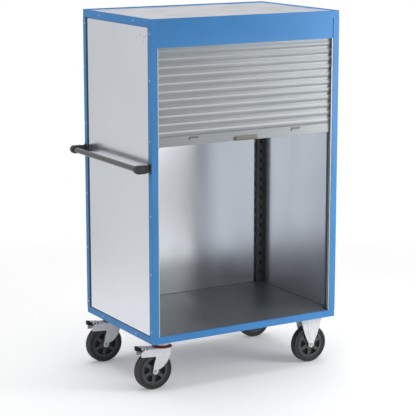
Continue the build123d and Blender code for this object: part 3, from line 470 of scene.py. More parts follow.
class Nodes:
    """Lays out a tree of nodes, one after the other."""

    def __init__(self, tree):
        self.tree = tree

    def add(self, kind, **values):
        node = self.tree.nodes.new(kind)
        for name, value in values.items():
            setattr(node, name, value)
        return node

    def link(self, output, inlet):
        self.tree.links.new(output, inlet)

    def part(self, vector, axis):
        parts = self.add("ShaderNodeSeparateXYZ")
        self.link(vector, parts.inputs["Vector"])
        return parts.outputs[axis]

    def ranged(self, value, low, high, out_low, out_high):
        fit = self.add("ShaderNodeMapRange")
        for name, level in (("From Min", low), ("From Max", high), ("To Min", out_low), ("To Max", out_high)):
            fit.inputs[name].default_value = level
        self.link(value, fit.inputs["Value"])
        return fit.outputs["Result"]

    def maths(self, operation, first, second):
        node = self.add("ShaderNodeMath", operation=operation)
        self.link(first, node.inputs[0])
        self.link(second, node.inputs[1])
        return node.outputs["Value"]

    def larger(self, first, second):
        return self.maths("MAXIMUM", first, second)

    def looked_at(self, rays):
        """1 for what the camera sees, directly, in metal or through glass."""
        shown = self.larger(rays["Is Camera Ray"], rays["Is Glossy Ray"])
        return self.larger(shown, rays["Is Transmission Ray"])

    def either(self, share, first, second):
        """The first shader where share is 0, the second where it is 1."""
        node = self.add("ShaderNodeMixShader")
        for inlet, output in zip(node.inputs, (share, first, second)):
            self.link(output, inlet)
        return node.outputs["Shader"]

    def surroundings(self, way, sizes):
        """Strength of the pale surroundings that metal shows in a direction, brighter on one side."""
        toward = self.add("ShaderNodeVectorMath", operation="DOT_PRODUCT")
        toward.inputs[1].default_value = tuple(sizes.bright_way)
        self.link(way, toward.inputs[0])
        return self.ranged(toward.outputs["Value"], -1, 1, sizes.mirrored_dim, sizes.mirrored_bright)


class Finish(Nodes):
    """One material, whose patterns are placed by the object's own coordinates."""

    def __init__(self, name, **levels):
        self.material = bpy.data.materials.new(name)
        self.material.use_nodes = True
        super().__init__(self.material.node_tree)
        self.shader = self.tree.nodes["Principled BSDF"]
        self.place = self.add("ShaderNodeTexCoord").outputs["Object"]
        sockets = {"metal": "Metallic", "specular": "Specular IOR Level", "coat": "Coat Weight",
                   "coat_rough": "Coat Roughness"}
        for level, value in levels.items():
            self.shader.inputs[sockets[level]].default_value = value

    def noise(self, scale, stretch=(1, 1, 1), detail=3, rough=0.5):
        """Noise with about scale features in a metre, drawn out where stretch is under 1."""
        spread = self.add("ShaderNodeMapping")
        spread.inputs["Scale"].default_value = stretch
        self.link(self.place, spread.inputs["Vector"])
        grain = self.add("ShaderNodeTexNoise")
        for name, value in (("Scale", scale), ("Detail", detail), ("Roughness", rough)):
            grain.inputs[name].default_value = value
        self.link(spread.outputs["Vector"], grain.inputs["Vector"])
        return grain.outputs["Fac"]

    def cells(self, scale):
        grid = self.add("ShaderNodeTexVoronoi")
        grid.inputs["Scale"].default_value = scale
        self.link(self.place, grid.inputs["Vector"])
        return grid.outputs["Color"]

    def mixed(self, share, first, second):
        node = self.add("ShaderNodeMix", data_type="RGBA")
        self.link(share, node.inputs["Factor"])
        for inlet, value in ((node.inputs[6], first), (node.inputs[7], second)):
            if isinstance(value, tuple):
                inlet.default_value = value + (1.0,)
            else:
                self.link(value, inlet)
        return node.outputs[2]

    def between(self, grain, low, high, first, second):
        """A colour that goes from the first to the second as the grain goes from low to high."""
        return self.mixed(self.ranged(grain, low, high, 0, 1), first, second)

    def paint(self, value):
        self.link(value, self.shader.inputs["Base Color"])

    def roughen(self, value, low, high):
        self.link(self.ranged(value, 0.3, 0.7, low, high), self.shader.inputs["Roughness"])

    def bump(self, value, depth, strength=0.5):
        """Raises the surface by up to depth metres."""
        node = self.add("ShaderNodeBump")
        node.inputs["Strength"].default_value = strength
        node.inputs["Distance"].default_value = depth
        self.link(value, node.inputs["Height"])
        self.link(node.outputs["Normal"], self.shader.inputs["Normal"])


def scaled(colour_value, share):
    return tuple(min(level * share, 1.0) for level in colour_value)


def tints(colour_value, *shares):
    """Darker and lighter tints of a colour."""
    return [scaled(colour_value, share) for share in shares]


def remembered(maker):
    """Makes each finish once and hands out the same one afterwards."""
    made = []

    def give(context):
        if not made:
            made.append(maker(context))
        return made[0]
    return give


def grained(name, grain, ends, pair, rough, relief, depth, strength=0.5, rub=None, **levels):
    """A material whose colour wanders between a pair with one grain. The roughness goes with that grain or
    with rub, and relief is the scale of its fine bump, or None where the grain itself stands out."""
    skin = Finish(name, **levels)
    wander = skin.noise(*grain)
    skin.paint(skin.between(wander, *ends, *pair))
    skin.roughen(skin.noise(*rub) if rub else wander, *rough)
    skin.bump(skin.noise(relief, detail=2) if relief else wander, depth, strength)
    return skin.material


@remembered
def powder_blue(context):
    """Blue powder coat: fine orange peel, faint cloudiness, rub marks low down."""
    tint = settings(context, "cupboard").blue
    coat = Finish("powder_blue", specular=0.22, coat=0.06, coat_rough=0.3)
    tone = coat.between(coat.noise(3.5, detail=4), 0.3, 0.7, *tints(tint, 0.93, 1.06))
    scuff = coat.noise(45, stretch=(1, 1, 0.35), detail=6, rough=0.7)
    low_down = coat.ranged(coat.part(coat.place, "Z"), 0.25, 0.55, 1, 0)
    marks = coat.maths("MULTIPLY", coat.ranged(scuff, 0.62, 0.72, 0, 0.35), low_down)
    coat.paint(coat.mixed(marks, tone, scaled(tint, 0.62)))
    coat.roughen(coat.noise(22, detail=4), 0.42, 0.52)
    coat.bump(coat.noise(420, detail=2), 0.00004)
    return coat.material


@remembered
def panel_grey(context):
    """Even metallic coat on smooth sheet, which mirrors its surroundings softly."""
    pair = tints(settings(context, "cupboard").grey, 0.97, 1.02)
    return grained("panel_grey", (1.6,), (0.3, 0.7), pair, (0.19, 0.27), 700, 0.000012, 0.35,
                   rub=(8, (1, 1, 0.3), 5), metal=0.92)


@remembered
def deck_film(context):
    """Dark film on plywood: pressed mesh, faint wear lanes."""
    tint = settings(context, "cupboard").deck
    film = Finish("deck_film")
    wear = film.noise(5, stretch=(1.6, 0.5, 1), detail=6, rough=0.65)
    tone = film.between(wear, 0.35, 0.7, *tints(tint, 0.86, 1.18))
    speck = film.ranged(film.noise(260, detail=2), 0.6, 0.75, 0, 0.35)
    film.paint(film.mixed(speck, tone, scaled(tint, 1.7)))
    film.roughen(wear, 0.42, 0.58)
    film.bump(film.cells(230), 0.0002)
    return film.material


@remembered
def rail_grey(context):
    pair = tints(settings(context, "cupboard").rail, 0.85, 1.2)
    return grained("rail_grey", (14, (1, 1, 0.3), 4), (0.3, 0.7), pair, (0.36, 0.5), 600, 0.00003)


@remembered
def guide_zinc(context):
    """Galvanised strip with its crystals."""
    zinc = Finish("guide_zinc", metal=0.25)
    light = zinc.add("ShaderNodeRGBToBW")
    zinc.link(zinc.cells(90), light.inputs["Color"])
    zinc.paint(zinc.mixed(light.outputs["Val"], shade(196, 192, 182), shade(226, 222, 212)))
    zinc.roughen(light.outputs["Val"], 0.34, 0.5)
    zinc.bump(zinc.noise(300), 0.00004)
    return zinc.material


@remembered
def slat_grey(context):
    """Satin lacquered slats, drawn lengthways, with a painted highlight up to twice as bright on their
    upward-facing shoulders.
    """
    tint = settings(context, "shutter").slat
    skin = Finish("slat_grey", metal=0.3, specular=0.35)
    streak = skin.noise(60, stretch=(0.04, 1, 6), detail=5, rough=0.6)
    tone = skin.between(skin.noise(3, stretch=(1, 1, 2.5)), 0.3, 0.7, *tints(tint, 0.94, 1.04))
    worn = skin.mixed(skin.ranged(streak, 0.42, 0.72, 0, 0.22), tone, scaled(tint, 0.80))
    up_facing_painted_highlight = skin.part(skin.add("ShaderNodeTexCoord").outputs["Normal"], "Z")
    # Painted highlight: faces that point upwards are coloured up to twice as bright as the slat grey.
    skin.paint(skin.between(up_facing_painted_highlight, 0.15, 0.4, worn, scaled(tint, 2.0)))
    skin.roughen(streak, 0.38, 0.5)
    skin.bump(streak, 0.00008, 0.4)
    return skin.material


# Plastic of the end clips, also used as painted shade at the back of the finger pulls.
@remembered
def clip_and_shade_plastic(context):
    pair = tints(settings(context, "shutter").clip, 0.85, 1.1)
    return grained("clip_and_shade_plastic", (120,), (0.3, 0.7), pair, (0.45, 0.58), 900, 0.00003)


@remembered
def cover_olive(context):
    """Lock cover: olive grey above, darker and browner along its lower third, as painted shade under the
    cover's lower edge.
    """
    tint = tuple(settings(context, "shutter").cover)
    skin = Finish("cover_olive")
    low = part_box("lock_housing")[0][2]
    # Painted shade: the band along the lower edge is darker and browner than the rest of the cover.
    tone = skin.between(skin.part(skin.place, "Z"), low + 0.006, low + 0.012, shade(108, 100, 90), tint)
    grain = skin.noise(200, detail=4)
    skin.paint(skin.mixed(skin.ranged(grain, 0.45, 0.75, 0, 0.3), tone, scaled(tint, 0.7)))
    skin.roughen(grain, 0.4, 0.55)
    skin.bump(grain, 0.00006)
    return skin.material


# Near-black finish used as painted shade: strips in the panel gaps, upward faces of the base rails inside,
# and the webs deep in the hub pockets.
@remembered
def painted_shade_black(context):
    pair = tints(settings(context, "cupboard").seal_and_shade, 0.8, 1.6)
    return grained("painted_shade_black", (60, (1, 1, 0.2), 5), (0.35, 0.7), pair, (0.55, 0.7), 500, 0.00004)


@remembered
def rivet_white(context):
    """Pale lacquered rivets and the heads of small bolts."""
    pair = shade(238, 238, 236), shade(204, 205, 205)
    return grained("rivet_white", (220, (1, 1, 1), 4), (0.35, 0.7), pair, (0.28, 0.42), 900, 0.00002,
                   metal=0.3)


@remembered
def bright_steel(context):
    """Plated screws and rivets."""
    pair = shade(196, 198, 200), shade(150, 151, 153)
    return grained("bright_steel", (160, (1, 1, 1), 5, 0.65), (0.35, 0.7), pair, (0.24, 0.4), 900, 0.00002,
                   metal=0.95)


@remembered
def dark_steel(context):
    pair = shade(58, 58, 60), shade(88, 88, 92)
    return grained("dark_steel", (200, (1, 1, 1), 4), (0.35, 0.7), pair, (0.34, 0.5), 800, 0.00003,
                   metal=0.85)


@remembered
def barrel_zinc(context):
    pair = shade(170, 171, 172), shade(198, 199, 200)
    return grained("barrel_zinc", (30, (0.3, 1, 1), 5), (0.3, 0.7), pair, (0.34, 0.5), 500, 0.00003,
                   metal=0.85)


@remembered
def handle_grey(context):
    """Dark coated tube with faint lengthways lines."""
    pair = tints(settings(context, "handle").tube, 0.8, 1.25)
    return grained("handle_grey", (220, (1, 0.03, 1), 4), (0.3, 0.7), pair, (0.26, 0.38), None, 0.00005, 0.4,
                   metal=0.2, coat=0.4, coat_rough=0.15)


@remembered
def bracket_black(context):
    pair = tints(settings(context, "handle").plastic, 0.8, 1.3)
    return grained("bracket_black", (700,), (0.3, 0.7), pair, (0.42, 0.56), None, 0.00006, 0.6, rub=(60,))


@remembered
def fork_zinc(context):
    """Bright zinc with a soft cloudy bloom."""
    tint = settings(context, "casters").zinc
    zinc = Finish("fork_zinc", metal=0.15)
    cloud = zinc.noise(38, detail=5, rough=0.6)
    tone = zinc.between(cloud, 0.3, 0.7, *tints(tint, 0.9, 1.05))
    fleck = zinc.ranged(zinc.noise(180, detail=4), 0.6, 0.72, 0, 0.3)
    zinc.paint(zinc.mixed(fleck, tone, scaled(tint, 0.72)))
    zinc.roughen(cloud, 0.3, 0.46)
    zinc.bump(zinc.noise(420), 0.00004)
    return zinc.material


@remembered
def tyre_rubber(context):
    tint = settings(context, "casters").rubber
    rubber = Finish("tyre_rubber")
    dust = rubber.noise(24, detail=6, rough=0.65)
    tone = rubber.between(dust, 0.35, 0.7, *tints(tint, 0.86, 1.2))
    grit = rubber.ranged(rubber.noise(500), 0.6, 0.75, 0, 0.3)
    rubber.paint(rubber.mixed(grit, tone, scaled(tint, 1.7)))
    rubber.roughen(dust, 0.64, 0.8)
    rubber.bump(rubber.noise(700), 0.00008, 0.6)
    return rubber.material


@remembered
def hub_grey(context):
    pair = tints(settings(context, "casters").hub, 0.88, 1.14)
    return grained("hub_grey", (40, (1, 1, 1), 4), (0.3, 0.7), pair, (0.44, 0.58), 800, 0.00004, 0.6)


@remembered
def seal_red(context):
    pair = tints(settings(context, "casters").seal_and_shade, 0.75, 1.15)
    return grained("seal_red", (90, (1, 1, 1), 4), (0.3, 0.7), pair, (0.45, 0.6), 600, 0.00004)


@remembered
def pedal_grey(context):
    pair = tints(settings(context, "casters").tread, 0.85, 1.3)
    return grained("pedal_grey", (80, (0.5, 1, 1), 5), (0.4, 0.7), pair, (0.6, 0.74), 700, 0.00006, 0.6,
                   specular=0.15)


@remembered
def pedal_mark(context):
    """Pale strips across the pedal."""
    pair = shade(240, 240, 238), shade(206, 205, 202)
    return grained("pedal_mark", (260, (1, 1, 1), 5), (0.4, 0.75), pair, (0.48, 0.62), None, 0.00006)


@remembered
def pale_floor(context):
    """Plain pale floor that keeps the object's shadow, and is white to the eye further off."""
    sizes = settings(context, "stage")
    floor = Finish("pale_floor")
    cloud = floor.noise(1.2, detail=2)
    floor.paint(floor.between(cloud, 0.3, 0.7, *tints(sizes.floor, 0.985, 1)))
    floor.roughen(cloud, 0.85, 0.95)
    glow = floor.add("ShaderNodeEmission")
    glow.inputs["Strength"].default_value = sizes.glow
    lifted = floor.add("ShaderNodeAddShader")
    floor.link(floor.shader.outputs["BSDF"], lifted.inputs[0])
    floor.link(glow.outputs["Emission"], lifted.inputs[1])
    rays = floor.add("ShaderNodeLightPath").outputs
    way = floor.add("ShaderNodeVectorMath", operation="NORMALIZE")
    span = floor.add("ShaderNodeVectorMath", operation="LENGTH")
    for measured in (way, span):
        floor.link(floor.place, measured.inputs[0])
    white = floor.add("ShaderNodeEmission")
    mirrored = floor.surroundings(way.outputs["Vector"], sizes)
    floor.link(floor.larger(mirrored, rays["Is Camera Ray"]), white.inputs["Strength"])
    far = floor.ranged(span.outputs["Value"], sizes.shadow_reach * 0.5, sizes.shadow_reach, 0, 1)
    seen = floor.either(far, lifted.outputs["Shader"], white.outputs["Emission"])
    surface = floor.either(floor.looked_at(rays), floor.shader.outputs["BSDF"], seen)
    floor.link(surface, floor.tree.nodes["Material Output"].inputs["Surface"])
    return floor.material


# Pieces

ENDS = ("front", "back")
HANDS = {"left": -1, "right": 1}
CORNERS = [(end, hand) for end in ENDS for hand in HANDS]


class TROLLEY_OT_frame(bpy.types.Operator):
    """Rails and uprights with rounded folds, in blue powder coat"""
    bl_idname = "trolley.frame"
    bl_label = "Frame"
    bl_options = {"REGISTER", "UNDO"}

    def execute(self, context):
        sizes = settings(context, "cupboard")
        finish = powder_blue(context)
        inside = {"base": panel_grey(context), "upright": rail_grey(context)}
        names = [f"{rail}_rail_{side}" for rail in ("base", "top") for side in (*ENDS, *HANDS)]
        names += [f"upright_{end}_{hand}" for end, hand in CORNERS]
        for name in names:
            thing = piece(
                name + "_folded", eased(name, sizes.cut, sizes.fold), finish, "cabinet", "frame_paint", name
            )
            if name.startswith(("base_rail_left", "base_rail_right", "upright_back")):
                self.coat_inside(thing, name, inside[name.split("_")[0]], painted_shade_black(context))
        fascia = eased("fascia_panel", sizes.cut, sizes.fascia_fold)
        piece("fascia_panel_folded", fascia, finish, "cabinet", "frame_paint", "fascia_panel")
        piece("fascia_ends", self.fascia_ends(sizes), finish, "cabinet", "frame_paint")
        for name in ("base_corner_plates", "deck_bearers"):
            piece(name + "_cut", eased(name, sizes.cut, 0), finish, "cabinet", "frame_paint", name)
        return {"FINISHED"}

    def fascia_ends(self, sizes):
        """Folded ends that close the seams beside the fascia, flush on the left, a groove on the right."""
        overlap, wall = 0.0001, 0.0012
        low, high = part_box("fascia_panel")
        shapes = []
        for way, edge, depth in ((-1, low[0], 0.0002), (1, high[0], 0.0035)):
            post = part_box("upright_front_left" if way < 0 else "upright_front_right")
            face = (post[0] if way < 0 else post[1])[0] - way * sizes.front_leg
            left, right = sorted((edge - way * overlap, face + way * overlap))
            outline = soft_box(left, right, low[2], min(high[2], post[1][2]), overlap, 1)
            shapes.append(plate([outline], low[1] + depth, low[1] + depth + wall, "y"))
        return joined(*shapes)

    def coat_inside(self, thing, name, finish, painted_shade_finish):
        """Gives the faces that show inside the cupboard another finish: on the base rails the walls' grey,
        with painted shade on their upward faces, and on the back uprights the given finish.
        """
        thing.data.materials.append(finish)
        thing.data.materials.append(painted_shade_finish)
        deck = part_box("deck_board")[1][2]
        low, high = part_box(name)
        away = 0.0016
        for face in thing.data.polygons:
            centre = face.center
            if name.startswith("base"):
                if centre.z > deck - away:
                    # Painted shade on the upward faces, a dark line at the foot of the walls; the walls' grey
                    # on the rest.
                    face.material_index = 2 if face.normal.z > 0.5 else 1
            elif low[0] + away < centre.x < high[0] - away and centre.y < high[1] - away:
                face.material_index = 1


class TROLLEY_OT_shade_strips(bpy.types.Operator):
    """Near-black strips in the gaps between the side panels and the frame, painted shade that stands in for
    the shadow in those gaps
    """
    bl_idname = "trolley.seals"
    bl_label = "Panel seals"
    bl_options = {"REGISTER", "UNDO"}

    def execute(self, context):
        sizes = settings(context, "cupboard")
        wall, gap, clear = sizes.shade_strip_wall, sizes.shade_strip_gap, 0.0002
        shapes = []
        for hand, way in HANDS.items():
            low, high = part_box(f"side_panel_{hand}")
            inner, outer = (high[0], low[0]) if way < 0 else (low[0], high[0])
            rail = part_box(f"base_rail_{hand}")[0 if way < 0 else 1][0]
            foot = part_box(f"upright_front_{hand}")[0][2]
            face = outer + way * clear
            strips = (
                self.strip(inner, inner + way * wall, low[1] - clear, low[1] - gap + clear),
                self.lapped(inner, face, face + way * wall, high[1], clear, gap, sizes.shade_strip_lap),
            )
            shapes += [plate([line], low[2], high[2], "z") for line in strips]
            reach = rail - way * 0.0006
            line = [
                (inner, foot + clear), (reach, foot + clear), (reach, foot + wall),
                (inner + way * wall, foot + wall), (inner + way * wall, low[2] - clear),
                (inner, low[2] - clear),
            ]
            shapes.append(plate([line], low[1] - gap + clear, high[1] + gap - clear, "y"))
        # The strips are painted shade in the gaps round the side panels.
        piece("panel_shade_strips", joined(*shapes), painted_shade_black(context), "cabinet", "black_plastic")
        return {"FINISHED"}

    def strip(self, inner, outer, near, far):
        """Strip that only fills the gap."""
        return [(inner, near), (outer, near), (outer, far), (inner, far)]

    def lapped(self, inner, face, outer, edge, clear, gap, lap):
        """Strip that fills the gap and laps over the panel's edge."""
        step = edge + gap - clear
        return [
            (inner, edge + clear), (face, edge + clear), (face, edge - lap), (outer, edge - lap),
            (outer, step), (inner, step),
        ]


class TROLLEY_OT_panels(bpy.types.Operator):
    """Side, back and roof sheets in a metallic grey coat"""
    bl_idname = "trolley.panels"
    bl_label = "Panels"
    bl_options = {"REGISTER", "UNDO"}

    def execute(self, context):
        for name in ("roof_panel", "side_panel_left", "side_panel_right", "back_panel"):
            dress(name, panel_grey(context))
        return {"FINISHED"}


class TROLLEY_OT_deck(bpy.types.Operator):
    """Film faced deck board"""
    bl_idname = "trolley.deck"
    bl_label = "Deck"
    bl_options = {"REGISTER", "UNDO"}

    def execute(self, context):
        shape = eased("deck_board", 0.001, 0)
        piece("deck_board_film", shape, deck_film(context), "cabinet", "deck_face", "deck_board")
        return {"FINISHED"}


class TROLLEY_OT_rails(bpy.types.Operator):
    """Slotted shelf rails and galvanised shutter guides"""
    bl_idname = "trolley.rails"
    bl_label = "Rails and guides"
    bl_options = {"REGISTER", "UNDO"}

    def execute(self, context):
        for name in ("shelf_rails_front", "shelf_rails_back"):
            dress(name, rail_grey(context))
        shape = eased("shutter_guides", 0.0004, 0)
        piece("shutter_guides_strip", shape, guide_zinc(context), "cabinet", "guide_zinc", "shutter_guides")
        return {"FINISHED"}


class TROLLEY_OT_rivets(bpy.types.Operator):
    """Domed rivets along the uprights and rails"""
    bl_idname = "trolley.rivets"
    bl_label = "Rivets"
    bl_options = {"REGISTER", "UNDO"}

    def execute(self, context):
        dome = settings(context, "cupboard").rivet_dome
        shapes = []
        for low, high in solid_boxes("frame_rivets"):
            centre = centre_of(low, high)
            way = 1 if centre.x > 0 else -1
            radius = (high[2] - low[2]) / 2
            seat = low[0] if way > 0 else high[0]
            profile = [(0, 0), (radius, 0)] + [
                (max(radius * math.cos(turn), 0), way * dome * (0.3 + 0.7 * math.sin(turn)))
                for turn in map(math.radians, range(0, 91, 15))
            ]
            shapes.append(turned(profile, (seat, centre.y, centre.z), "x", 24))
        piece("rivet_heads", joined(*shapes), rivet_white(context), "cabinet", "bolt_steel", "frame_rivets")
        return {"FINISHED"}


class TROLLEY_OT_roll(bpy.types.Operator):
    """Barrel, brackets and the slats wound on it"""
    bl_idname = "trolley.roll"
    bl_label = "Roll"
    bl_options = {"REGISTER", "UNDO"}

    def execute(self, context):
        dress("rolled_slats", slat_grey(context))
        for name in ("barrel_tube", "barrel_shaft", "barrel_spring", "barrel_brackets"):
            dress(name, barrel_zinc(context))
        dress("barrel_end_caps", bracket_black(context))
        dress("bracket_bolts", rivet_white(context))
        return {"FINISHED"}


def slat_outline(front, low, height, wall):
    """(y, z) of one slat: an easy bulge from the joint, a steep shoulder, a flat upper part."""
    face = flowing([
        (0.44, 0.0), (0.38, 0.04), (0.22, 0.12), (0.08, 0.22), (0.01, 0.33), (0.0, 0.41),
        (0.05, 0.46), (0.15, 0.51), (0.27, 0.56), (0.39, 0.61), (0.47, 0.66), (0.48, 0.74), (0.48, 1.0),
    ], 4)
    outline = [(front + across * wall, low + up * height) for across, up in face]
    return outline + [(front + wall, low + height), (front + wall, low)]


def slats(sizes, low, high, base, count, pitch):
    """Slats one above the other from the base, as wide as the box from low to high."""
    shapes = []
    for index in range(count):
        foot = base + sizes.gap / 2 + index * pitch
        outline = slat_outline(low[1], foot, pitch - sizes.gap, sizes.wall)
        shapes.append(plate([outline], low[0], high[0], "x"))
    return joined(*shapes)


def end_clips(sizes, low, high, base):
    """Plastic clips that keep the slats in line, one under each joint at both ends."""
    inset, width = 0.004, 0.008
    shapes = []
    for index in range(sizes.hung):
        z = base + (index + 1) * sizes.pitch
        outline = soft_box(low[1] + 0.0012, low[1] + 0.006, z - 0.0095, z - 0.001, 0.0012, 3)
        for left in (low[0] + inset, high[0] - inset - width):
            shapes.append(plate([outline], left, left + width, "x", 0.0004, 1))
    return joined(*shapes)


class TROLLEY_OT_slats(bpy.types.Operator):
    """Hanging slats, their end clips and the slats that unwind as the shutter is lowered"""
    bl_idname = "trolley.slats"
    bl_label = "Slats"
    bl_options = {"REGISTER", "UNDO"}

    def execute(self, context):
        sizes = settings(context, "shutter")
        low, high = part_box("hanging_slats")
        base = low[2] - sizes.gap / 2
        shape = slats(sizes, low, high, base, sizes.hung, sizes.pitch)
        hanging = piece(
            "hanging_slats_smooth", shape, slat_grey(context), "curtain", "slat_metal", "hanging_slats",
            weighted=False,
        )
        clips = end_clips(sizes, low, high, base)
        held = piece("slat_end_clips", clips, clip_and_shade_plastic(context), "curtain", "slat_metal", weighted=False)
        for thing in (hanging, held):
            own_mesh(thing)
        self.unwinding(context, sizes, low, high)
        return {"FINISHED"}

    def unwinding(self, context, sizes, low, high):
        """Slats folded into a thin band at rest, squeezed from slats laid at even pitch as they hang when the
        shutter is down.
        """
        top = high[2]
        pitch = sizes.travel / sizes.unwound
        shape = slats(sizes, low, high, top - sizes.travel, sizes.unwound, pitch)
        for spot in shape.verts:
            spot.co.z = self.stored(spot.co.z, top, sizes)
        thing = piece("unwinding_slats", shape, slat_grey(context), None, "slat_metal", weighted=False)
        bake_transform(thing)

    def stored(self, lowered, top, sizes):
        """Height at rest of a point that hangs at that height when the shutter is down."""
        rest = top
        for _ in range(12):
            share = min(max((rest - lowered) / sizes.travel, 0.0), 1.0)
            turn = 0.5 - math.sin(math.asin(1 - 2 * share) / 3)
            rest = top + sizes.store * (1 - turn)
        return rest


class TROLLEY_OT_bar(bpy.types.Operator):
    """Bottom bar and the two finger pulls"""
    bl_idname = "trolley.bar"
    bl_label = "Bottom bar"
    bl_options = {"REGISTER", "UNDO"}

    def execute(self, context):
        finish = slat_grey(context)
        shape = eased("bottom_bar", 0.0006, 0.0015, shortest=0.3)
        piece("bottom_bar_drawn", shape, finish, "shutter_bar", "slat_metal", "bottom_bar")
        wall = settings(context, "shutter").pull_wall
        pulls, painted_shade_dips = [], []
        for low, high in solid_boxes("finger_pulls"):
            back, lip = high[1], low[1]
            base, top = low[2], high[2]
            outline = (
                [(back, top), (back, base)]
                + arc(lip + 0.003, base + 0.003, 0.003, 270, 180, 5)
                + [(lip, base + 0.008)]
                + arc(lip + 0.001, base + 0.008, 0.001, 180, 0, 4)
                + [(lip + 0.002, base + 0.003), (back - 0.0035, base + wall)]
                + arc(back - wall - 0.002, base + wall + 0.002, 0.002, 270, 360, 4)
                + [(back - wall, top)]
            )
            pulls.append(plate([outline], low[0], high[0], "x", 0.0003, 1))
            # Painted shade: a darker plate at the back of each pull's recess, in the end clips' plastic.
            recess = soft_box(low[0] + 0.001, high[0] - 0.006, base + 0.0085, top - 0.001, 0.0015)
            face = back - wall
            painted_shade_dips.append(plate([recess], face - 0.0005, face + 0.0004, "y", 0.0002, 1))
        piece("finger_pull_angles", joined(*pulls), finish, "shutter_bar", "slat_metal", "finger_pulls")
        piece("finger_pull_shade_dips", joined(*painted_shade_dips), clip_and_shade_plastic(context), "shutter_bar", "slat_metal")
        return {"FINISHED"}


class TROLLEY_OT_lock(bpy.types.Operator):
    """Lock cover, key cylinder and bolt"""
    bl_idname = "trolley.lock"
    bl_label = "Lock"
    bl_options = {"REGISTER", "UNDO"}

    def execute(self, context):
        olive = cover_olive(context)
        low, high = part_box("lock_housing")
        key = middle_of("lock_cylinder")
        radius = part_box("lock_cylinder")[1][2] - key.z
        half = (high[2] - low[2]) / 2
        outline = (
            arc(low[0] + half, low[2] + half, half, 90, 270, 14)
            + arc(high[0] - 0.003, low[2] + 0.003, 0.003, -90, 0, 5)
            + arc(high[0] - 0.003, high[2] - 0.003, 0.003, 0, 90, 5)
        )
        hole = ring_line(key.x, key.z, radius + 0.0003)
        cover = plate([outline, hole], low[1], high[1], "y", 0.0016, 3)
        ridge = soft_box(low[0] + 0.020, high[0] - 0.006, low[2] + 0.009, high[2] - 0.004, 0.002)
        raised = plate([ridge], low[1] - 0.0004, low[1] + 0.001, "y", 0.0003, 1)
        piece("lock_cover", joined(cover, raised), olive, "shutter_bar", "lock_cover", "lock_housing")
        collar = [
            (radius + 0.0003, -0.0004), (radius + 0.0018, -0.0004), (radius + 0.0026, 0.0004),
            (radius + 0.0026, 0.0012), (radius + 0.0003, 0.0012),
        ]
        shape = turned(collar, (key.x, low[1], key.z), "y", 40)
        piece("lock_collar", shape, olive, "shutter_bar", "lock_cover")
        dress("lock_cylinder", dark_steel(context))
        shape = eased("lock_bolt", 0.0008, 0, shortest=0.001)
        piece("lock_bolt_tongue", shape, bright_steel(context), "lock_bolt", "bolt_steel", "lock_bolt")
        return {"FINISHED"}


class TROLLEY_OT_handle(bpy.types.Operator):
    """Push bar, its two moulded brackets and their screws"""
    bl_idname = "trolley.handle"
    bl_label = "Push handle"
    bl_options = {"REGISTER", "UNDO"}

    def execute(self, context):
        sizes = settings(context, "handle")
        axis = middle_of("handle_tube")
        end = Vector(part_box("handle_tube")[1]) - axis
        radius = end.z
        profile = both_ends([(radius - 0.002, end.y), (radius - 0.0006, end.y), (radius, end.y - 0.0006)])
        tube = turned(profile, axis, "y", 64)
        piece("push_bar", tube, handle_grey(context), "cabinet", "handle_paint", "handle_tube")
        shapes = [
            self.bracket(sizes, low, high, axis.x, axis.z, radius)
            for low, high in solid_boxes("handle_brackets")
        ]
        piece(
            "push_bar_brackets", joined(*shapes), bracket_black(context), "cabinet", "black_plastic",
            "handle_brackets",
        )
        heads = []
        for low, high in solid_boxes("handle_screws"):
            _, y, z = centre_of(low, high)
            reach = high[2] - z
            outer = [ring_line(y, z, reach, 28), hexagon(y, z, reach * 0.5)]
            heads.append(plate(outer, low[0], high[0], "x", (high[0] - low[0]) * 0.3))
            heads.append(plate([ring_line(y, z, reach * 0.55, 20)], high[0] - 0.0004, high[0], "x"))
        piece(
            "handle_screw_heads", joined(*heads), bright_steel(context), "cabinet", "bolt_steel",
            "handle_screws",
        )
        return {"FINISHED"}

    def bracket(self, sizes, low, high, x, z, radius):
        """Plate on the upright, narrow neck, and a deep arm with a round end and a raised rim."""
        wall, reach, arm, half = sizes.wall, sizes.socket, sizes.arm / 2, sizes.plate / 2
        seat = high[0]
        middle = (low[1] + high[1]) / 2
        neck = sizes.neck_width / 2
        stop = seat - sizes.neck_length
        lean = math.degrees(math.asin(arm / reach))
        outline = (
            arc(x, z, reach, lean, 360 - lean, 30)
            + arc(stop - 0.004, z - arm + 0.004, 0.004, 270, 360, 5)
            + arc(stop - 0.004, z + arm - 0.004, 0.004, 0, 90, 5)
        )
        body = plate([outline], low[1], high[1], "y", 0.003, 4)
        waist = plate(
            [[(stop - 0.002, z - arm + 0.0015), (seat - 0.002, z - arm + 0.0005),
              (seat - 0.002, z + arm - 0.0005), (stop - 0.002, z + arm - 0.0015)]],
            middle - neck, middle + neck, "y", 0.001,
        )
        foot = plate(
            [soft_box(low[1], high[1], z - half, z + half, 0.004)], seat - wall, seat, "x", 0.0014, 3
        )
        way = 1 if middle > 0 else -1
        face, mouth = (high[1], low[1]) if way > 0 else (low[1], high[1])
        rim = plate(
            [inward(outline, 0.0042), inward(outline, 0.0062)],
            *sorted((face - way * 0.001, face + way * 0.0006)), "y", 0.0004, 1,
        )
        collar = turned([
            (radius + 0.0002, way * -0.002), (radius + 0.0035, way * -0.002), (radius + 0.005, 0.0),
            (radius + 0.005, way * 0.004), (radius + 0.0002, way * 0.004),
        ], (x, mouth, z), "y", 48)
        return joined(body, waist, foot, rim, collar)


def joint_place(name):
    return Vector(next(joint for joint in frame["joints"] if joint["name"] == name)["pos_m"])


Caster = collections.namedtuple("Caster", "end plate_x x y")


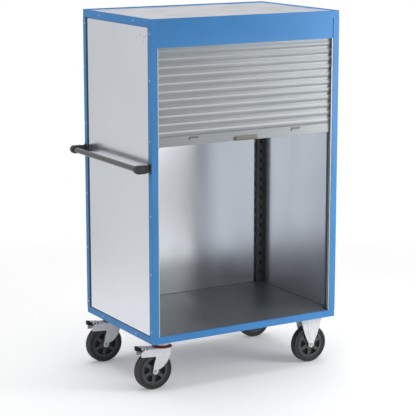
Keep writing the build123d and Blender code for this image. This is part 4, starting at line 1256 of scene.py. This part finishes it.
def casters(*hands):
    """The casters of those hands, with the places of their plates and wheels."""
    found = []
    for end, hand in CORNERS:
        if hand in hands:
            wheel = middle_of(f"tyre_{end}_{hand}")
            plate_x = joint_place(f"swivel_turn_{end}").x if hand == "left" else wheel.x
            found.append(Caster(end, plate_x, wheel.x, wheel.y))
    return found


def bolt_places(sizes, caster):
    """(x, y) of the four bolts of a caster's plate."""
    along, across = sizes.bolt_length / 2, sizes.bolt_width / 2
    return [
        (caster.plate_x + way * along, caster.y + side * across) for way in (-1, 1) for side in (-1, 1)
    ]


def caster_plate(sizes, caster):
    """Rounded plate with slotted bolt holes."""
    x, y = caster.plate_x, caster.y
    half, wide = sizes.plate_length / 2, sizes.plate_width / 2
    outlines = [soft_box(x - half, x + half, y - wide, y + wide, 0.009)]
    for cx, cy in bolt_places(sizes, caster):
        outlines.append(soft_box(cx - 0.0052, cx + 0.0052, cy - 0.0075, cy + 0.0075, 0.005, 5))
    return plate(outlines, sizes.under - sizes.plate_wall, sizes.under, "z", 0.0012)


class TROLLEY_OT_caster_heads(bpy.types.Operator):
    """Swivel plates with their bearing housings and dust rings"""
    bl_idname = "trolley.caster_heads"
    bl_label = "Caster heads"
    bl_options = {"REGISTER", "UNDO"}

    def execute(self, context):
        sizes = settings(context, "casters")
        low, top = sizes.crown + 0.0083, sizes.under - sizes.plate_wall
        dome = [
            (0.0, low + 0.012), (0.012, low + 0.012), (0.012, low), (0.032, low), (0.036, low + 0.002),
            (0.038, low + 0.006), (0.038, low + 0.013), (0.036, low + 0.018), (0.031, low + 0.021),
            (0.029, low + 0.024), (0.030, top), (0.0, top),
        ]
        base = sizes.crown + 0.0003
        ring = [
            (0.038, base), (0.0505, base), (0.0516, base + 0.0004), (0.052, base + 0.0010),
            (0.0514, base + 0.0018), (0.049, base + 0.0022), (0.044, base + 0.0026),
            (0.0408, base + 0.005), (0.040, base + 0.0105), (0.0392, base + 0.011), (0.038, base + 0.011),
        ]
        heads, seals = [], []
        for caster in casters("left"):
            place = (caster.plate_x, caster.y, 0)
            heads += [caster_plate(sizes, caster), turned(dome, place, "z", 64)]
            seals.append(turned(ring, place, "z", 72))
        piece("swivel_plates", joined(*heads), fork_zinc(context), "cabinet", "fork_zinc", "swivel_heads")
        piece(
            "swivel_dust_rings", joined(*seals), seal_red(context), "cabinet", "seal_rubber", "swivel_seals"
        )
        return {"FINISHED"}


def fork_leg(sizes, outline, x, y, way):
    """One leg of a fork: flat sheet, a raised bead along its edge and a boss round the axle."""
    axle, wall = sizes.wheel_radius, sizes.wall
    inner = y + way * sizes.inside / 2
    face = inner + way * wall
    hole = ring_line(x, axle, 0.0062)
    sheet = plate([outline, hole], *sorted((inner, face)), "y", wall * 0.25)
    raised = sorted((face - way * wall * 0.3, face + way * 0.0009))
    bead = plate([outline, inward(outline, sizes.fork_bead)], *raised, "y", 0.0007, 2)
    boss = [(0.0063, 0), (0.0063, way * 0.0012), (0.012, way * 0.0012), (0.0135, 0)]
    return joined(sheet, bead, turned(boss, (x, face, axle), "y", 40))


def fork_foot(sizes, x):
    """Round end of a fork's leg under the axle."""
    return arc(x, sizes.wheel_radius, sizes.fork_foot, 200, 340, 14)


class TROLLEY_OT_swivel_forks(bpy.types.Operator):
    """Pressed forks of the swivel casters"""
    bl_idname = "trolley.swivel_forks"
    bl_label = "Swivel forks"
    bl_options = {"REGISTER", "UNDO"}

    def execute(self, context):
        sizes = settings(context, "casters")
        for caster in casters("left"):
            name = f"swivel_fork_{caster.end}"
            piece(
                name + "_pressed", self.fork(sizes, caster), fork_zinc(context), f"swivel_{caster.end}",
                "fork_zinc", name,
            )
        return {"FINISHED"}

    def side_line(self, sizes, x, far, near):
        """(x, z) of a leg: rounded foot at the axle, swept neck, arm out to the pedal."""
        axle, crown, tip = sizes.wheel_radius, sizes.crown, sizes.fork_foot
        rise = crown - axle
        right = flowing([
            (x + tip * 0.94, axle + tip * 0.34), (x + 0.040, axle + rise * 0.13),
            (x + 0.066, axle + rise * 0.34), (x + 0.083, axle + rise * 0.62),
            (far - 0.001, axle + rise * 0.86), (far, crown - 0.004),
        ], 5)
        end = near + 0.006
        left = [
            (end + 0.024, crown), (end + 0.018, crown - 0.001), (end + 0.001, crown - 0.013),
            (end, crown - 0.015), (end + 0.001, crown - 0.034), (end + 0.003, crown - 0.036),
            (x - 0.004, crown - 0.041), (x + 0.002, crown - 0.044), (x + 0.003, crown - 0.050),
            (x - 0.005, axle + 0.046),
        ]
        return right + [(far, crown)] + left + fork_foot(sizes, x)

    def fork(self, sizes, caster):
        x, y, crown = caster.x, caster.y, sizes.crown
        low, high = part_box(f"swivel_fork_{caster.end}")
        outer = sizes.inside / 2 + sizes.wall
        outline = self.side_line(sizes, x, high[0], low[0])
        crown_low = crown - sizes.wall
        top = soft_box(caster.plate_x - 0.058, high[0], y - outer, y + outer, 0.004)
        drum = [
            (0.0, crown_low), (0.038, crown_low), (0.038, crown), (0.036, crown + 0.001),
            (0.035, crown + 0.006), (0.033, crown + 0.008), (0.010, crown + 0.008),
            (0.008, crown + 0.0085), (0.008, crown + 0.017), (0.006, crown + 0.0185), (0.0, crown + 0.0185),
        ]
        rod = both_ends([
            (0, outer + 0.002), (0.0035, outer + 0.002), (0.0042, outer + 0.0012), (0.004, outer),
        ])
        pivot = joint_place(f"brake_press_{caster.end}")
        return joined(
            *(fork_leg(sizes, outline, x, y, way) for way in (-1, 1)),
            plate([top], crown_low, crown, "z", 0.001),
            turned(drum, (caster.plate_x, y, 0), "z", 64),
            turned(rod, (pivot.x, y, pivot.z), "y", 28),
        )


class TROLLEY_OT_fixed_forks(bpy.types.Operator):
    """Pressed forks of the fixed casters, with their plates"""
    bl_idname = "trolley.fixed_forks"
    bl_label = "Fixed forks"
    bl_options = {"REGISTER", "UNDO"}

    def execute(self, context):
        sizes = settings(context, "casters")
        shapes = []
        for caster in casters("right"):
            shapes.append(caster_plate(sizes, caster))
            shapes += self.legs(sizes, caster.x, caster.y)
        piece(
            "fixed_forks_pressed", joined(*shapes), fork_zinc(context), "cabinet", "fork_zinc",
            "fixed_forks",
        )
        return {"FINISHED"}

    def legs(self, sizes, x, y):
        axle, tip = sizes.wheel_radius, sizes.fork_foot
        top = sizes.under - sizes.plate_wall
        rise = top - axle
        half = flowing([
            (tip * 0.94, axle + tip * 0.34), (0.026, axle + rise * 0.17), (0.041, axle + rise * 0.40),
            (0.055, axle + rise * 0.68), (0.064, axle + rise * 0.93), (0.065, top),
        ], 5)
        rib = flowing([
            (0.009, axle + 0.020), (0.016, axle + rise * 0.35), (0.025, axle + rise * 0.70), (0.032, top),
        ], 4)
        outline = self.mirrored(half, x) + fork_foot(sizes, x)
        outer = sizes.inside / 2 + sizes.wall
        shapes = []
        for way in (-1, 1):
            shapes.append(fork_leg(sizes, outline, x, y, way))
            raised = sorted((y + way * (outer - 0.0008), y + way * (outer + 0.002)))
            shapes.append(plate([self.mirrored(rib, x)], *raised, "y", 0.0011))
        return shapes

    def mirrored(self, half, x):
        """The line on both sides of x, up on the right and down on the left."""
        return [(x + across, up) for across, up in half] + [(x - across, up) for across, up in reversed(half)]


class TROLLEY_OT_pedals(bpy.types.Operator):
    """Brake pedals with a rounded tread, pale strips and a steel lever"""
    bl_idname = "trolley.pedals"
    bl_label = "Brake pedals"
    bl_options = {"REGISTER", "UNDO"}
    rest_tilt = math.radians(8)
    rib_places = (0.09, 0.20)
    strip_places = (0.35, 0.56, 0.77)

    def execute(self, context):
        sizes = settings(context, "casters")
        for end in ENDS:
            body, pivot = f"pedal_{end}", joint_place(f"brake_press_{end}")
            pivot.y = middle_of(f"tyre_{end}_left").y
            to_pivot = Matrix.Translation(pivot)
            tilt = to_pivot @ Matrix.Rotation(self.rest_tilt, 4, "Y") @ to_pivot.inverted()
            black, steel, pale = (
                joined(*shapes) for shapes in (
                    self.tread(sizes, end, *pivot), self.lever(sizes, *pivot), self.strips(sizes, *pivot)
                )
            )
            for shape in (black, steel, pale):
                bmesh.ops.transform(shape, matrix=tilt, verts=shape.verts)
            piece(
                f"{body}_tread", black, pedal_grey(context), body, "pedal_plastic", f"brake_pedal_{end}"
            )
            piece(f"{body}_lever", steel, fork_zinc(context), body, "fork_zinc")
            piece(f"{body}_strips", pale, pedal_mark(context), body, "pedal_plastic")
        return {"FINISHED"}

    def rounded(self, toe, heel, y, wide, narrowing=0.0, radius=0.022):
        """Outline whose toe has round corners, from one side of the heel to the other."""
        return (
            [(heel, y - wide + narrowing)]
            + arc(toe + radius, y - wide + radius, radius, 270, 180, 8)
            + arc(toe + radius, y + wide - radius, radius, 180, 90, 8)
            + [(heel, y + wide - narrowing)]
        )

    def tread(self, sizes, end, x, y, z):
        """Plate with its skirt, toe flap and two ribs."""
        long, wide = sizes.pedal_length, sizes.pedal_half
        toe = x - long
        line = self.rounded(toe, x - 0.016, y, wide, narrowing=0.002)
        line += [(x - 0.012, y + 0.020), (x - 0.012, y - 0.020)]
        lowest = max(z - 0.013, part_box(f"brake_pedal_{end}")[0][2] + 0.001)
        flap = self.rounded(toe + 0.0005, toe + 0.030, y, wide - 0.0005)
        shapes = [
            plate([line], z, z + 0.006, "z", 0.002, 3),
            plate([inward(line, 0.004), inward(line, 0.007)], z - 0.004, z + 0.002, "z", 0.0006, 1),
            plate([flap], lowest, z + 0.002, "z", 0.0015, 3),
        ]
        for share in self.rib_places:
            across = self.bar(toe + long * share, 0.003, y, wide - 0.004)
            shapes.append(plate([across], z + 0.0055, z + 0.0078, "z", 0.0009))
        return shapes

    def lever(self, sizes, x, y, z):
        """Steel tongue and the knuckle that it turns on."""
        wide = sizes.pedal_half
        knuckle = both_ends([(0.0042, wide), (0.0064, wide), (0.007, wide - 0.0008)])
        tongue = soft_box(x - 0.030, x + 0.002, y - 0.016, y + 0.016, 0.004)
        return [plate([tongue], z - 0.0028, z + 0.0006, "z", 0.0008), turned(knuckle, (x, y, z), "y", 36)]

    def strips(self, sizes, x, y, z):
        """Pale strips that run over the tread and down its sides."""
        half, wide = sizes.strip_half, sizes.pedal_half
        shapes = []
        for share in self.strip_places:
            middle = x - sizes.pedal_length * (1 - share)
            across = self.bar(middle, half, y, wide - 0.003)
            shapes.append(plate([across], z + 0.0055, z + 0.0076, "z", 0.0005))
            for way in (-1, 1):
                near, far = sorted((y + way * (wide - 0.0022), y + way * (wide + 0.0002)))
                side = soft_box(middle - half, middle + half, near, far, 0.0008, 2)
                shapes.append(plate([side], z - 0.003, z + 0.0066, "z", 0.0004))
        return shapes

    def bar(self, x, half, y, wide):
        return soft_box(x - half, x + half, y - wide, y + wide, 0.0015)


def hex_bolt(x, y, z, way, across_flats, head, axis):
    """Hexagon head on a washer. The seat is at the given place and the head points along way."""
    reach = across_flats / math.sqrt(3)
    across, up, seat = (x, z, y) if axis == "y" else (x, y, z)
    washer = sorted((seat, seat + way * 0.0015))
    top = sorted((seat + way * 0.0013, seat + way * head))
    return joined(
        plate([ring_line(across, up, reach, 36)], *washer, axis, 0.0003, 1),
        plate([hexagon(across, up, reach * 0.96)], *top, axis, 0.0007, 1),
    )


class TROLLEY_OT_bolts(bpy.types.Operator):
    """Caster bolts and wheel axles with hexagon heads"""
    bl_idname = "trolley.bolts"
    bl_label = "Bolts and axles"
    bl_options = {"REGISTER", "UNDO"}

    def execute(self, context):
        sizes = settings(context, "casters")
        finish = bright_steel(context)
        seat, corner = sizes.under - sizes.plate_wall, sizes.under + 0.0025
        stem = [
            (0, seat - 0.001), (0.005, seat - 0.001), (0.005, corner + 0.0055), (0.0045, corner + 0.006),
            (0, corner + 0.006),
        ]
        bolts = []
        for caster in casters("left", "right"):
            for x, y in bolt_places(sizes, caster):
                bolts += [
                    hex_bolt(x, y, seat, -1, sizes.bolt_flats, 0.006, "z"),
                    hex_bolt(x, y, corner, 1, sizes.bolt_flats, 0.0055, "z"),
                    turned(stem, (x, y, 0), "z", 20),
                ]
        piece("caster_plate_bolts", joined(*bolts), finish, "cabinet", "bolt_steel", "caster_bolts")
        for caster in casters("left"):
            node = f"swivel_axle_{caster.end}"
            piece(
                node + "_bolt", self.axle(sizes, caster), finish, f"swivel_{caster.end}", "bolt_steel", node
            )
        fixed = joined(*(self.axle(sizes, caster) for caster in casters("right")))
        piece("fixed_axle_bolts", fixed, finish, "cabinet", "bolt_steel", "fixed_axles")
        return {"FINISHED"}

    def axle(self, sizes, caster):
        x, y, z = caster.x, caster.y, sizes.wheel_radius
        outer = sizes.inside / 2 + sizes.wall
        stem = [(0, y - outer - 0.001), (0.006, y - outer - 0.001), (0.006, y + outer + 0.0055),
                (0.0055, y + outer + 0.006), (0, y + outer + 0.006)]
        return joined(
            hex_bolt(x, y - outer, z, -1, sizes.axle_flats, 0.006, "y"),
            hex_bolt(x, y + outer, z, 1, sizes.axle_flats, 0.0055, "y"),
            turned(stem, (x, 0, z), "y", 28),
        )


class TROLLEY_OT_tyres(bpy.types.Operator):
    """Tyres with round shoulders, ringed side walls and a grooved tread"""
    bl_idname = "trolley.tyres"
    bl_label = "Tyres"
    bl_options = {"REGISTER", "UNDO"}

    def execute(self, context):
        sizes = settings(context, "casters")
        for end, hand in CORNERS:
            name = f"tyre_{end}_{hand}"
            shape = turned(self.section(sizes), middle_of(name), "y", 96)
            piece(
                name + "_tread", shape, tyre_rubber(context), f"wheel_{end}_{hand}", "tyre_rubber", name
            )
        return {"FINISHED"}

    def section(self, sizes):
        """(radius, along) from the inner edge over the tread and back."""
        rim, edge, half = sizes.rim_radius, sizes.wheel_radius, sizes.wheel_width / 2
        bend = 0.009
        side = [
            (rim, half - 0.003), (rim + 0.0015, half - 0.001), (rim + 0.004, half),
            (rim + 0.0048, half), (rim + 0.0056, half - 0.0026), (rim + 0.0086, half - 0.0026),
            (rim + 0.0094, half), (rim + 0.0112, half), (rim + 0.0120, half - 0.0022),
            (rim + 0.0136, half - 0.0022), (rim + 0.0141, half),
        ]
        shoulder = arc(edge - bend, half - bend, bend, 90, 0, 8)
        tread = [(edge, 0.0095), (edge - 0.0030, 0.0085), (edge - 0.0030, 0.0055), (edge, 0.0045)]
        return both_ends(side + shoulder + tread)


class TROLLEY_OT_hubs(bpy.types.Operator):
    """Wheel centres with six rounded pockets, a thin web and a sleeve"""
    bl_idname = "trolley.hubs"
    bl_label = "Wheel centres"
    bl_options = {"REGISTER", "UNDO"}

    def execute(self, context):
        sizes = settings(context, "casters")
        for end, hand in CORNERS:
            name, wheel = f"hub_{end}_{hand}", f"wheel_{end}_{hand}"
            centre = middle_of(name)
            piece(
                name + "_moulded", self.hub(sizes, centre), hub_grey(context), wheel, "hub_plastic", name
            )
            # Near-black web: painted shade deep in the pockets.
            piece(name + "_web", self.web(sizes, centre), painted_shade_black(context), wheel, "hub_plastic")
        return {"FINISHED"}

    def pocket(self, sizes, centre, angle):
        """Rounded triangle between two webs, with its middle at an angle in degrees."""
        inner, outer = sizes.boss_radius + 0.002, sizes.pocket_radius
        near, far = self.half_angle(sizes, inner), self.half_angle(sizes, outer)
        line = arc(0, 0, outer, angle - far, angle + far, 6)
        line += arc(0, 0, inner, angle + near, angle - near, 1)
        return [(centre.x + across, centre.z + up) for across, up in self.cornered(line, 0.006)]

    def half_angle(self, sizes, radius):
        """Half of what a pocket takes up at a radius, in degrees."""
        web = math.asin(min(sizes.spoke / 2 / radius, 0.95))
        return math.degrees(max(math.pi / 6 - web, 0.03))

    def cornered(self, line, radius):
        """The outline with its sharp corners rounded off."""
        points = []
        count = len(line)
        for index, spot in enumerate(line):
            here = Vector(spot)
            before, after = Vector(line[index - 1]), Vector(line[(index + 1) % count])
            back, ahead = before - here, after - here
            if back.angle(ahead) > math.radians(150):
                points.append(spot)
                continue
            reach = min(radius, back.length * 0.45, ahead.length * 0.45)
            first, last = here + back.normalized() * reach, here + ahead.normalized() * reach
            for step in range(6):
                t = step / 5
                spot_on = first * (1 - t) ** 2 + here * 2 * t * (1 - t) + last * t * t
                points.append((spot_on.x, spot_on.y))
        return points

    def hub(self, sizes, centre):
        half = sizes.hub_width / 2
        outlines = [ring_line(centre.x, centre.z, sizes.rim_radius, 96)]
        for index in range(6):
            angle = 120 - math.degrees(sizes.turn) + index * 60
            outlines.append(self.pocket(sizes, centre, angle))
        bore = 0.0095
        outlines.append(ring_line(centre.x, centre.z, bore, 40))
        body = plate(outlines, centre.y - half, centre.y + half, "y", 0.0016, 3)
        reach = sizes.inside / 2 - 0.0003
        sleeve = both_ends([(0.00605, reach), (0.009, reach), (0.010, reach - 0.001)])
        return joined(body, turned(sleeve, centre, "y", 48))

    def web(self, sizes, centre):
        """Thin web in the middle of the pockets, in near-black as painted shade deep in the pockets."""
        rim, inner, half = sizes.rim_radius - 0.005, 0.020, 0.004
        return turned(both_ends([(inner, half), (rim, half)]), centre, "y", 72)


class TROLLEY_OT_stage(bpy.types.Operator):
    """Pale floor and backdrop, soft lamps and the camera"""
    bl_idname = "trolley.stage"
    bl_label = "Stage"
    bl_options = {"REGISTER", "UNDO"}

    def execute(self, context):
        sizes = settings(context, "stage")
        self.floor(context)
        self.world(context, sizes)
        for name, size, power, place, aim in (
            ("key_lamp", sizes.key_size, sizes.key_power, sizes.key_place, sizes.key_aim),
            ("top_lamp", sizes.top_size, sizes.top_power, sizes.top_place, sizes.top_aim),
            ("side_lamp", sizes.side_size, sizes.side_power, sizes.side_place, sizes.side_aim),
        ):
            data = bpy.data.lights.new(name, "AREA")
            data.shape = "DISK"
            data.size = size
            data.energy = power
            self.stand(context, data, place, aim).visible_camera = False
        self.camera(context, sizes)
        return {"FINISHED"}

    def floor(self, context):
        shape = bmesh.new()
        bmesh.ops.create_grid(shape, x_segments=1, y_segments=1, size=40)
        mesh = bpy.data.meshes.new("floor")
        shape.to_mesh(mesh)
        shape.free()
        ground = bpy.data.objects.new("floor", mesh)
        context.scene.collection.objects.link(ground)
        mesh.materials.append(pale_floor(context))

    def world(self, context, sizes):
        """Pale air, brighter overhead, that shows white behind the object."""
        world = bpy.data.worlds.new("air")
        context.scene.world = world
        world.use_nodes = True
        world.node_tree.nodes.clear()
        air = Nodes(world.node_tree)
        way = air.add("ShaderNodeTexCoord").outputs["Generated"]
        up = air.part(way, "Z")
        light, seen = air.add("ShaderNodeBackground"), air.add("ShaderNodeBackground")
        for node in (light, seen):
            node.inputs["Color"].default_value = (1, 1, 1, 1)
        air.link(air.ranged(up, 0, 1, sizes.horizon, sizes.zenith), light.inputs["Strength"])
        rays = air.add("ShaderNodeLightPath").outputs
        above = air.ranged(up, 0, sizes.mirrored_rise, 0, sizes.mirrored_above)
        mirrored = air.larger(air.surroundings(way, sizes), above)
        air.link(air.larger(mirrored, rays["Is Camera Ray"]), seen.inputs["Strength"])
        surface = air.either(air.looked_at(rays), light.outputs["Background"], seen.outputs["Background"])
        air.link(surface, air.add("ShaderNodeOutputWorld").inputs["Surface"])

    def stand(self, context, data, place, aim):
        """Puts a lamp or the camera in its place, turned to its aim."""
        thing = bpy.data.objects.new(data.name, data)
        thing.location = place
        way = Vector(aim) - Vector(place)
        thing.rotation_euler = way.to_track_quat("-Z", "Y").to_euler()
        context.scene.collection.objects.link(thing)
        return thing

    def camera(self, context, sizes):
        data = bpy.data.cameras.new("camera")
        data.sensor_width = 36
        data.lens = sizes.lens
        data.clip_end = 200
        context.scene.camera = self.stand(context, data, sizes.eye, sizes.aim)
        context.scene.view_settings.view_transform = "Standard"


STEPS = (
    TROLLEY_OT_stage,
    TROLLEY_OT_frame,
    TROLLEY_OT_panels,
    TROLLEY_OT_shade_strips,
    TROLLEY_OT_deck,
    TROLLEY_OT_rails,
    TROLLEY_OT_rivets,
    TROLLEY_OT_roll,
    TROLLEY_OT_slats,
    TROLLEY_OT_bar,
    TROLLEY_OT_lock,
    TROLLEY_OT_handle,
    TROLLEY_OT_caster_heads,
    TROLLEY_OT_swivel_forks,
    TROLLEY_OT_fixed_forks,
    TROLLEY_OT_pedals,
    TROLLEY_OT_bolts,
    TROLLEY_OT_tyres,
    TROLLEY_OT_hubs,
)


class TROLLEY_PT_pieces(bpy.types.Panel):
    """Lists the trolley's pieces and their values"""
    bl_idname = "TROLLEY_PT_pieces"
    bl_label = "Cupboard trolley"
    bl_space_type = "VIEW_3D"
    bl_region_type = "UI"
    bl_category = "Trolley"

    def draw(self, context):
        for name in GROUPS:
            group = settings(context, name)
            box = self.layout.box()
            box.label(text=name.capitalize())
            for value in group.bl_rna.properties:
                if value.identifier not in ("rna_type", "name"):
                    box.prop(group, value.identifier)
        for step in STEPS:
            self.layout.operator(step.bl_idname)


CLASSES = (*GROUPS.values(), *STEPS, TROLLEY_PT_pieces)


def register():
    for kind in CLASSES:
        bpy.utils.register_class(kind)
    for name, group in GROUPS.items():
        setattr(bpy.types.Scene, "trolley_" + name, bpy.props.PointerProperty(type=group))


def unregister():
    for name in GROUPS:
        delattr(bpy.types.Scene, "trolley_" + name)
    for kind in reversed(CLASSES):
        bpy.utils.unregister_class(kind)


def main():
    register()
    for step in STEPS:
        group, name = step.bl_idname.split(".")
        getattr(getattr(bpy.ops, group), name)()


if __name__ == "__main__":
    main()
